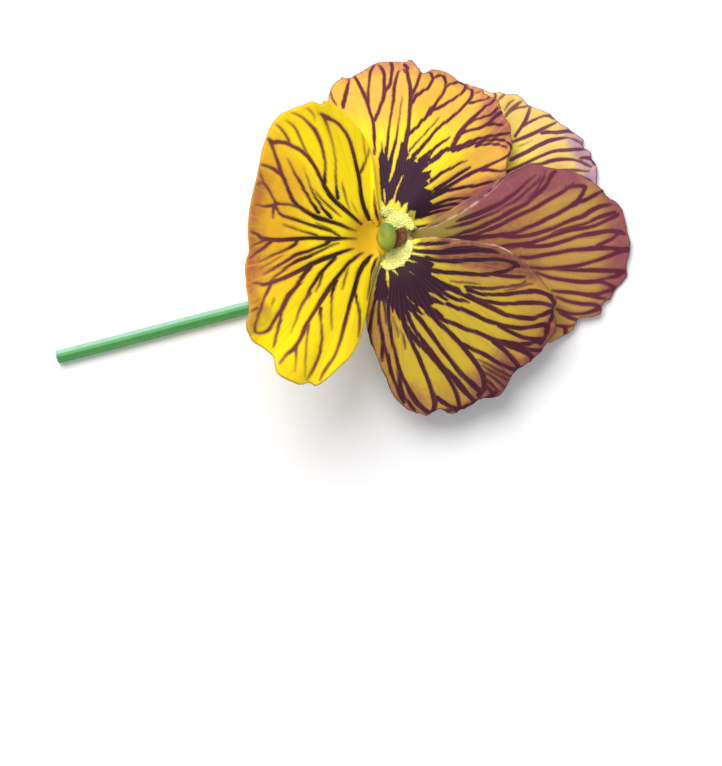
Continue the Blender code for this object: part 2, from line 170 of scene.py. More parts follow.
TOP_FRONT = Petal(
    "petal_top_front", -5.0, CLAW_DISTANCE,
    Margin(
        ((-60, 1.1), (-43, 4), (-42, 8), (-44, 11.6), (-43, 15), (-38, 17.6)),
        Crop(440, 75, 5.4),
        ((560, 1455), (640, 1430), (700, 1385), (760, 1330), (820, 1310), (870, 1275), (885, 1235),
         (940, 1195), (988, 1120), (1000, 1060), (1042, 955), (1020, 880), (1010, 820), (960, 700),
         (930, 660), (870, 628), (820, 580), (760, 545), (570, 492), (500, 488), (430, 508), (350, 555)),
        ((36, 11.2), (33, 8.2), (32, 5.4), (34, 3.2), (58, 1.2))),
    top_front_height, (Wave(9, 0.9, 0.008), Wave(15, 2.4, 0.008)), Wave(6, 1.2, 0.22), 0.9, 13)
TOP_BACK = Petal(
    "petal_top_back", 32.0, TOP_BACK_CLAW_DISTANCE,
    Margin(
        ((-66, 1.3), (-40, 4), (-36, 7.6), (-38, 12), (-38, 16.2), (-32, 19.6), (-25, 21.8)),
        Crop(440, 75, 5.4),
        ((865, 610), (835, 485), (815, 435), (790, 385), (750, 345), (620, 235), (510, 165), (410, 120),
         (350, 100), (300, 90)),
        ((30, 18.1), (38, 16.6), (44, 14.2), (45, 11), (42, 7.2), (42, 4), (66, 1.3))),
    top_back_height, (Wave(8, 2.0, 0.008), Wave(15, 1.1, 0.008)), Wave(6, 2.9, 0.12), 0.8, 21)
PETALS = (LOWER, SIDE_UPPER, SIDE_LOWER, TOP_FRONT, TOP_BACK)

# Veins, traced on the picture as (across, down, width) in its pixels
LOWER_VEINS = (
    ((318, 113.5, .8), (322, 116, 2.8), (326, 118.5, 3.8), (332, 120.5, 3), (338, 124.5, 2.6),
     (343, 130, 2.6), (347, 136.5, 2.6), (350, 143, 2.6), (352, 150, 2.6), (354, 157, 2.6),
     (355.5, 164, 2.8), (357, 170, 3.4), (358.5, 176, 3.6), (359.3, 183, 3.2), (360, 190, 3.2),
     (361, 197, 3.4), (362.5, 204, 3.8), (365, 211, 4), (368, 217.5, 3.6), (371, 222, 2.8),
     (373.5, 225, 1.4)),
    ((324, 119, 2.4), (326, 124, 1.8), (328, 130, 1.4), (330.5, 138, 1.2), (332.5, 146, 1.2),
     (334.5, 154, 1.2), (335.5, 162, 1.3), (335.5, 170, 1.4), (335.5, 178, 1.6), (336, 186, 2),
     (336.8, 193, 2.6), (337.5, 199, 3)),
    ((291, 113, .8), (296, 114.5, 1.4), (301, 117, 1.6), (306, 121, 1.8), (311, 126, 2.6),
     (315, 131, 3), (318, 137, 3), (320.5, 143, 2.6), (322.5, 150, 2.2), (324, 157, 2),
     (325, 164, 1.8), (325, 171, 2), (324.5, 178, 2.6), (324.5, 183, 3.4)),
    ((307, 108.5, .9), (311, 111.5, 1.5), (314, 116, 1.2), (315, 121, .7)),
    ((286, 121, .8), (291, 124, 1.5), (295.5, 129, 1.8), (298.5, 135, 1.8), (301, 141, 1.6),
     (303.5, 147, 1.6), (306, 153, 1.8), (308, 157, 2)),
    ((276, 124.5, 1.2), (280, 128, 1.9), (283.5, 132.5, 2), (286.5, 137, 2.2), (289, 142, 2.2)),
    ((268.5, 140, 2), (272, 143, 3.4), (278, 142.5, 3.2), (285, 143.5, 3.4), (291, 146, 3.2),
     (297, 149, 3), (302, 152, 3.2), (306.5, 155.5, 3.6), (310, 160, 3.4), (313.5, 165.5, 2.8),
     (316.5, 171, 2.8), (319.5, 177, 2.8), (322, 182, 3.2), (324.5, 187.5, 3.8), (328, 193, 4),
     (331.5, 198, 4.4), (335.5, 202.5, 4.6), (340, 206.5, 4), (345, 210.5, 3.6), (350, 215, 3.2),
     (355, 219.5, 2.8), (360, 223.5, 2), (363, 226, 1)),
    ((270, 143, 2.6), (272.5, 149, 2.6), (275, 155, 2.4), (277, 161, 2.6), (279, 167, 3),
     (280.5, 172, 3.4), (283, 178, 3), (285.5, 184, 3), (288, 190, 3), (290.5, 196, 3),
     (293.5, 202, 3.2), (297, 206, 3.4), (302, 209.5, 3.4), (307, 212.5, 3.6), (312, 215.5, 4),
     (317, 218, 4.8), (322, 219.5, 4.4), (327, 221, 4), (333, 223, 3.2), (339, 225, 2.8),
     (345, 227.5, 2.4), (350, 229.5, 1.8), (355, 231, 1)),
    ((258, 166, 1.6), (264, 166.5, 2), (270, 168, 2.2), (275, 170.5, 2.6), (279, 173.5, 2.8)),
    ((259, 170, 1.1), (261, 177, 1.4), (263.5, 183, 2), (267, 188, 2), (270, 193, 2),
     (273, 198.5, 2), (276, 203, 2.4), (281, 204.5, 2.2), (287, 205, 2), (292, 206, 2),
     (297, 207.5, 2.4)),
    ((254, 186, 1.2), (258, 184.5, 1.4), (262, 184, 1.4)),
    ((287, 160, .8), (290, 165, 1.5), (293, 171, 1.8), (296, 176.5, 2), (299.5, 182, 2.4),
     (302.5, 187.5, 2.4), (305.5, 193, 2.2), (308.5, 198.5, 2.2), (312, 204, 2.4), (315.5, 209, 2.8),
     (318, 213, 3.2)),
    ((304, 169, .6), (306, 175, .9), (308, 181, 1.2), (310, 187, 1.4), (312.5, 193, 1.8),
     (316, 199, 2), (319.5, 204.5, 2.2), (323, 209.5, 2.6), (327, 214, 3), (330.5, 218, 3)),
    ((314, 190, .8), (317.5, 195, 1.3), (321.5, 200, 1.6), (326.5, 204.5, 1.8), (331.5, 209, 1.8),
     (336, 213, 1.5), (340.5, 217, .9)),
    ((342, 183, .8), (343, 189, 1.4), (344.5, 195, 1.4), (346, 200, 1.4), (348, 206, 1.1),
     (350, 211, .7)),
    ((375, 191, .8), (375.3, 199, 1.4), (375.5, 206, 2), (376.5, 212, 2.4), (378, 217, 2.4),
     (380, 222, 1.3)),
    ((369, 150, 1.2), (367, 156, 1.5), (365, 162, 1.6), (362.5, 168, 2), (360, 173, 2.4)),
    ((361, 126, .6), (362, 134, .8), (363, 142, .9), (364, 149, 1.1), (365, 155, 1.1)),
    ((351.5, 203, .6), (354, 208, .9), (357, 213, .7)),
    ((256, 205.5, 1.4), (264, 207, 2), (270, 206.5, 2.4), (275, 205, 2.4), (279, 204, 2.4)),
    ((274, 207, 2.4), (273, 213, 2), (273, 219, 1.2)),
    ((275, 206, 2.4), (278, 212, 2), (282, 216, 2.4), (288, 218, 2.4), (295, 220, 2.4),
     (302, 222.5, 2.4), (309, 225, 2.4), (316, 227, 2.4), (322, 229, 2.4), (328, 231, 2.2),
     (333, 233, 2), (337, 235.5, 2), (340, 238, 2)),
    ((283, 225, .9), (289, 227.5, 1.5), (295, 229.5, 1.6), (301, 231.5, 1.6), (307, 233, 1.8),
     (312, 234.5, 2), (317, 236.5, 2)),
    ((316, 224, 1.2), (321, 226.5, 1.8), (326, 228.5, 2), (331, 231, 2)),
    ((251, 232, 1.8), (256, 234.5, 2.4), (261, 237.5, 3), (267, 239.5, 3.6), (274, 240.5, 3),
     (281, 240.5, 3), (288, 240, 3.2), (295, 239.5, 3.6), (302, 239, 3.2), (309, 238.5, 3.2),
     (316, 238.5, 3.4), (323, 239, 4), (329, 239.5, 4.6), (335, 239.5, 3.6), (341, 239, 2.8),
     (347, 239, 2), (352, 239.3, 1.5), (357, 239.5, .8)),
    ((266, 240, 3), (261, 242, 2), (256, 244.5, 1.8), (251, 247, 1.6), (247, 249, 1.3)),
    ((270, 243, 3.4), (266, 246, 3), (262, 249, 2.4), (258, 252, 2.2), (254, 255, 2),
     (250, 258.5, 1.4)),
    ((297, 242, 3), (294, 245, 3), (290, 248, 2.4), (285, 250.5, 2), (279, 253, 2), (273, 255.5, 2),
     (267, 258.5, 1.6), (262, 261, 1.3), (257, 264, .8)),
    ((283, 256, .8), (277, 259.5, 1.3), (271, 263, 1.4), (265, 266.5, 1.2), (259, 270, .8)),
    ((329, 242, 3), (325, 245, 2.6), (320, 247, 2.4), (314, 249.5, 2.4), (308, 252, 2.6),
     (302, 253.5, 3), (296, 255.5, 3.2), (290, 259, 2.8), (284, 263, 2.4), (278, 266.5, 2.4),
     (272, 270, 2), (267, 273, 1.5), (264, 275, 1)),
    ((338, 244, 1.2), (333, 245.5, 1.6), (328, 247.5, 1.8), (323, 250, 2), (318, 252.5, 2),
     (313, 255, 2.2), (308, 257.5, 2.6), (302, 259.5, 3), (297, 261.5, 3), (292, 264.5, 2.4),
     (287, 268, 2.2), (282, 272, 2.2), (277, 276, 2), (273, 279.5, 2), (270, 282, 2)),
    ((353, 249.5, 1.2), (347, 251, 2.4), (341, 253, 3), (335, 255, 3.6), (329, 257.5, 4.4),
     (323, 259.5, 4.4), (317, 262, 4), (311, 264.5, 4.4), (305, 268, 4), (299, 271.5, 3.6),
     (293, 274.5, 3.2), (287, 277.5, 3.2), (281, 280, 3), (275, 282.5, 3), (269, 284.5, 3.4),
     (262, 285, 2.6), (256, 284, 2), (251, 282.5, 1.4)),
    ((310, 267, 5), (306, 272, 4), (303, 277, 3.6), (299.5, 282, 3.6), (296, 287, 3.6),
     (292, 292, 3.6), (288, 297, 4), (285, 302, 4), (283, 307, 4), (281, 311, 3.4), (277, 316, 3),
     (274, 321, 3), (271, 326, 2.8), (268, 330, 2.8), (263, 333, 2.6), (258, 333.5, 2.2),
     (254.5, 331, 2), (255, 325, 1.8), (257, 319, 1.8), (259, 314, 2), (261, 308, 2), (263, 302, 2),
     (265.5, 296, 2.2), (268, 291, 2.4), (270, 286, 2.6)),
    ((281, 311, 3), (280, 319, 2.4), (279, 325, 2.2), (277.5, 331, 2), (276, 337, 2),
     (274.5, 343, 2), (273.5, 348, 1.3)),
    ((274, 299, 1.2), (272.5, 304, 1.1), (271.5, 308, .7)),
    ((257, 309, 2.2), (253, 311, 1.9), (250, 312.5, 1.3)),
    ((335, 258, 3), (331, 262, 3), (327, 266.5, 2.8), (323, 271, 2.8), (319, 275.5, 2.8),
     (316, 280, 2.8), (313, 285, 2.6), (310, 290, 2.6), (307.5, 295, 2.4), (305, 300, 2.2),
     (302, 305, 1.8), (299.5, 310, 1.8), (297.5, 316, 1.6), (295.5, 322, 1.4), (293, 328, 1.1),
     (291, 334, .8)),
    ((322, 272, 2.6), (321, 278, 2), (319.5, 283, 1.8), (317.5, 288, 1.5), (315.5, 292, 1)),
    ((310, 291, 2.4), (309, 295, 2.2), (308, 299, 1.2)),
    ((363, 253.5, 1), (358, 256, 2.2), (353, 260, 2.6), (348, 264, 3), (344, 269, 3), (340, 274, 3),
     (336, 279, 3.4), (332, 284.5, 3.6), (328, 290, 4), (324, 296, 4), (321, 301, 4),
     (318, 306, 3.6), (315, 311, 3.2), (312, 316, 3), (309, 321, 2.8), (306, 326, 3),
     (304, 331, 3.4), (302, 336, 3), (299.5, 341, 2.6), (297, 345, 2.8), (294, 349.5, 3.4),
     (290, 352.5, 2.6), (286, 356, 2), (283, 360, 1.8), (280, 364, 1.8)),
    ((336, 281, 3), (333.5, 287, 3), (332, 293, 2.4), (331.5, 299, 1.8), (331.3, 306, 1.4),
     (331, 313, 1.4), (331, 320, 1.3), (331.5, 326, 1.1), (332, 331, .7)),
    ((348, 268, 1), (346.5, 274, 1.5), (344.5, 280, 1.6), (343, 286, 1.3), (342, 290, .8)),
    ((373.5, 256, 1.2), (370, 258, 3), (366, 262, 4), (362, 267, 4.6), (359, 272.5, 4.6),
     (357, 278.5, 4), (355.5, 285, 4), (354, 291, 4), (352, 297, 3.6), (350, 303, 3),
     (348.5, 309, 2.8), (347, 315, 2.6), (345.5, 321, 2.8), (344, 327, 2.6), (342.5, 333, 2.4),
     (341, 339, 2.4), (339, 345, 2.2), (337, 351, 2), (334.5, 357, 2), (331.5, 362, 2),
     (328, 366.5, 2), (325, 371, 2), (322, 376, 1.8), (320, 381, 1.3)),
    ((354, 291, 3), (355.5, 297, 2.4), (357, 303, 2), (358.3, 309, 2), (359, 316, 1.8),
     (359.3, 323, 1.8), (359, 330, 1.6), (358, 337, 1.1)),
    ((320, 309, 3), (320.5, 318, 2), (321, 325, 1.6), (321.5, 332, 1.8), (321.5, 339, 2),
     (320.5, 346, 2), (319.5, 353, 2.2), (317.5, 359, 2.2), (315, 365, 2.2), (312, 371, 2),
     (309, 376, 1.5), (306.5, 380, 1)),
    ((308, 326, 2.4), (307.3, 335, 1.6), (306.5, 342, 1.4), (306, 349, 1.4), (305.5, 356, 1.3),
     (305, 363, 1.2), (304.8, 370, 1), (304.5, 377, .7)),
    ((296, 348, 2.8), (296, 354, 2), (296, 360, 1.4), (295.5, 366, 1.2), (294.5, 372, .8)),
    ((378.5, 258, 1.2), (376, 262, 2.4), (374, 267, 2.8), (372.5, 273, 2.6), (371, 279, 2.2),
     (369.5, 286, 1.8), (368, 293, 1.4), (367, 300, .9)),
)
SIDE_UPPER_VEINS = (
    ((331.5, 89.5, 1), (331.5, 94, 1.5), (333, 100, 1.6), (335.5, 104, 1.5), (338, 106.5, 1)),
    ((348.5, 77.5, 1.6), (348.8, 84, 2.4), (347, 91, 3.6), (345.3, 99, 4), (343.6, 107, 3.4),
     (343.4, 109.5, 1.5)),
    ((348.8, 79, 1.4), (351, 75.5, 2), (355, 78.5, 2.4), (358.5, 83, 2.8), (361.5, 88, 3),
     (364.5, 95, 3.4), (367, 101, 3.4), (369, 107, 3.2), (370.5, 113, 2.8), (372.5, 118, 2.8),
     (374, 123, 3.2), (374.5, 130, 3.2), (374.8, 138, 3), (375, 146, 2.4), (375.4, 155, 2)),
    ((369, 103, 2.6), (369, 95, 2.4), (369, 88, 2.4), (369.5, 82, 2.2), (370.5, 76, 2.4),
     (372, 70, 2.6), (374.5, 66.5, 2), (378, 65.5, 1.4), (381.5, 68, 2.2), (384, 72, 3),
     (385.2, 77, 3), (384.8, 83, 3), (385.3, 88, 3.6), (385, 93, 4), (384, 98, 3.6), (382, 104, 3.2),
     (380, 110, 3), (377.5, 116, 3), (375, 121, 3)),
    ((361.5, 71.5, 1), (361.8, 74, .6)),
    ((367, 69, 1), (367, 71.5, .6)),
    ((391.5, 63.5, 3), (393, 68, 3.6), (392.2, 74, 2.8), (391.5, 80, 3), (390.5, 85, 3.4),
     (388, 89, 3), (386, 92, 3.4)),
    ((402, 71, 1.6), (399, 73, 2), (397.5, 77, 2.2), (396, 82, 2.6), (394.5, 88, 3), (394, 94, 3),
     (393.8, 100, 2.8), (393, 107, 2.4), (392, 113, 2.2), (390.8, 119, 2.2), (390, 126, 2),
     (389, 133, 2.2), (388.3, 140, 2.4), (387.5, 147, 2.8), (386.6, 156, 3.4)),
    ((404.5, 66, 3), (408, 68, 3.4), (408.3, 73, 2.8), (408.8, 79, 3), (410, 85, 3.2), (411, 91, 4),
     (411.3, 97, 4.2), (411, 103, 4), (410.3, 109, 3.4), (409.8, 115, 3.2), (409.2, 121, 3),
     (408.7, 127, 3.2), (408, 133, 4), (407, 139, 3.6), (406, 145, 3.6), (404.5, 151, 4.4)),
    ((403.5, 70, 1.6), (407, 73.5, 2.2)),
    ((403, 98, .8), (402, 103, 1.3), (400.8, 109, 1.5), (400.3, 115, 1.5), (399.5, 121, 1.7),
     (399, 127, 1.7), (398, 133, 1.9), (396.8, 139, 2.1), (395, 146, 2.6), (393.3, 153, 3),
     (391.5, 160, 3.4)),
    ((382.3, 143, 1), (382.5, 149, 1.7), (382.5, 155, 3)),
    ((421.5, 73, 1.8), (419, 80, 2.4), (417, 86, 2.6), (414.5, 90, 3), (412.8, 95, 3.4)),
    ((422, 73, 1.2), (426, 72.5, 1.4), (431, 75, 2.4), (433, 79, 2.4)),
    ((437, 77, 2.4), (434, 79, 2.4), (431.5, 84, 2.6), (428, 89, 2.6), (423.5, 91.5, 2.6),
     (419, 95, 3), (415, 99, 3.2), (412.5, 103, 3.4)),
    ((437, 77, 2.4), (441, 76.2, 2.4), (444, 78, 2.8), (446, 82, 2.6), (445.5, 87, 2.4),
     (444, 92, 2.6), (441, 97.5, 2.6), (438, 102, 2.4), (435, 106, 3), (432, 109, 4),
     (430, 113, 4.4), (427, 117.5, 3.4), (423, 121, 3), (419.5, 125.5, 3), (416, 129, 3),
     (412.5, 132, 3.2), (409, 135, 3.6)),
    ((446, 88, 2.2), (450, 85, 2.2), (455, 83.5, 2.4), (460, 83, 2.4), (464.5, 85, 2.8),
     (465.5, 88, 3), (463, 92, 2.6), (460, 95.5, 2.4), (456, 98.5, 2.4), (451, 101.5, 2.4),
     (446, 104.5, 2.6), (441, 107.5, 3), (436.5, 109.5, 3.6), (432.5, 110.5, 4)),
    ((465.5, 87, 2.6), (468.5, 89.5, 1.6), (472, 91, 3), (472.5, 96, 3), (470.5, 100, 3),
     (467, 104, 2.6), (463, 108, 2.6), (459, 112, 2.6), (455, 116, 2.8), (450, 120, 2.8),
     (445, 123.5, 2.8), (440, 127.5, 2.6), (436, 131.5, 2.6), (432, 136, 2.6), (428, 141, 3),
     (424, 146, 3.2), (419, 151.5, 3.6), (414, 156.5, 4)),
    ((476, 94, 1.4), (482, 92.5, 1.4), (487, 94, 1.6), (489, 98, 1.8), (484, 101, 2.2),
     (479, 102, 2.2), (474, 103.5, 2.4), (469, 104, 2.4)),
    ((439.5, 118, .7), (437, 121, 1.4), (434, 125, 1.5), (430, 129, 1.6), (426, 133.5, 1.6),
     (422, 138, 1.6), (418.5, 141.5, 1.6), (414, 146.5, 1.8), (409.5, 152, 2)),
    ((494, 101, 2.6), (490, 105, 2.4), (486, 107.5, 2.4), (482.5, 111, 2.4), (478.5, 114.5, 2.6),
     (474, 118, 2.8), (470, 121.5, 3.2), (466.5, 125.5, 3.4), (463, 130, 3.8), (460, 134, 4),
     (457.5, 138.5, 4.4), (455, 143, 4.4), (452.5, 148, 5)),
    ((497, 109, 2.2), (493, 113, 2.4), (488, 116.5, 2.4), (482, 118.5, 2.2), (476, 120.5, 2.2),
     (471, 123, 2.4), (467.5, 125.5, 2.4)),
    ((461, 134.5, 3), (466, 132.5, 2.6), (471, 131, 2.6), (477, 129.5, 2.6), (482, 128, 2.6),
     (487, 125, 2.6), (491, 121.5, 2.8), (495, 117.5, 3.2), (499, 114, 3.6), (503, 111, 2.4)),
    ((486, 126, 2.4), (492, 124.8, 2.8), (498, 125, 2.6), (504, 126, 2)),
    ((455, 149, 5), (460, 147, 3.4), (465, 145, 3), (470, 142.5, 3), (475, 140.5, 3),
     (480, 139, 3), (486, 137.5, 3), (492, 136.5, 3.2), (498, 135, 3.3), (504, 134.5, 3),
     (509, 133, 2.6)),
    ((453, 151, 5), (461, 149, 3.3), (470, 145.5, 3), (480, 142.5, 2.8), (490, 140.5, 2.7),
     (500, 140, 2.7), (507, 142.5, 2.5), (511, 146.5, 2.5), (511.5, 151, 2.6), (509, 155.5, 2.6),
     (505, 158.5, 2.6), (500, 161, 2.4), (494, 163.5, 2.6), (488, 166.5, 3), (483, 169, 3.4),
     (478, 171, 3.4), (473, 173, 3.4), (468, 175.5, 3.6), (463, 178, 3.4), (458, 181, 3.4),
     (452, 184.5, 3.6), (446, 188, 4), (440, 191.5, 4.2), (434, 195, 4.4)),
    ((476, 146.5, 2.6), (485, 144.8, 2.4), (493, 144.4, 2.2), (500.5, 145.6, 2.2), (506.5, 148, 2)),
    ((467, 161, 1.2), (460, 164, 2), (453, 167.5, 2.2), (447, 171, 2.4), (441, 174, 2.6),
     (436, 178, 2.8), (431, 182, 3.2)),
    ((470, 168, 2.2), (465, 171, 3), (459, 174.5, 3.4), (453, 178.5, 3.4), (447, 182.5, 3.4),
     (441, 186.5, 3.6), (435, 190, 4)),
    ((430, 197.5, 3), (438, 195, 3), (445, 192, 3), (452, 190, 3), (460, 188.5, 3), (468, 187, 3),
     (476, 186, 3), (484, 184.5, 2.8), (492, 182.5, 2.4), (498, 181, 1.8)),
    ((480, 171, 3.2), (487, 170.5, 3), (494, 171.5, 2.6), (500, 172, 2.2), (505, 171, 1.8)),
    ((426, 208, 3), (434, 205.5, 3), (441, 202.5, 2.8), (448, 200, 2.6), (456, 199, 2.4),
     (464, 198.5, 2.2), (472, 197.5, 2), (480, 196, 1.4)),
    ((428, 210, 4), (436, 208, 3.6), (444, 206, 3.2), (452, 204.5, 2.8), (460, 204, 2.2),
     (467, 204, 1.6)),
    ((420, 217, 3.4), (428, 214.5, 3), (436, 212.3, 2.6), (444, 210.5, 2.2), (452, 209.3, 1.6),
     (458, 208.3, 1)),
    ((450, 138.5, 1.6), (445, 141.5, 2.4), (440, 145, 2.6), (435, 149, 2.8), (431, 152.5, 3.2),
     (426, 156.5, 3.6), (420, 161, 4)),
    ((452, 149, 3.6), (447, 150.5, 4), (442, 153.5, 4.4), (437, 158, 5), (432, 162.5, 3.2),
     (428, 165.5, 2)),
)
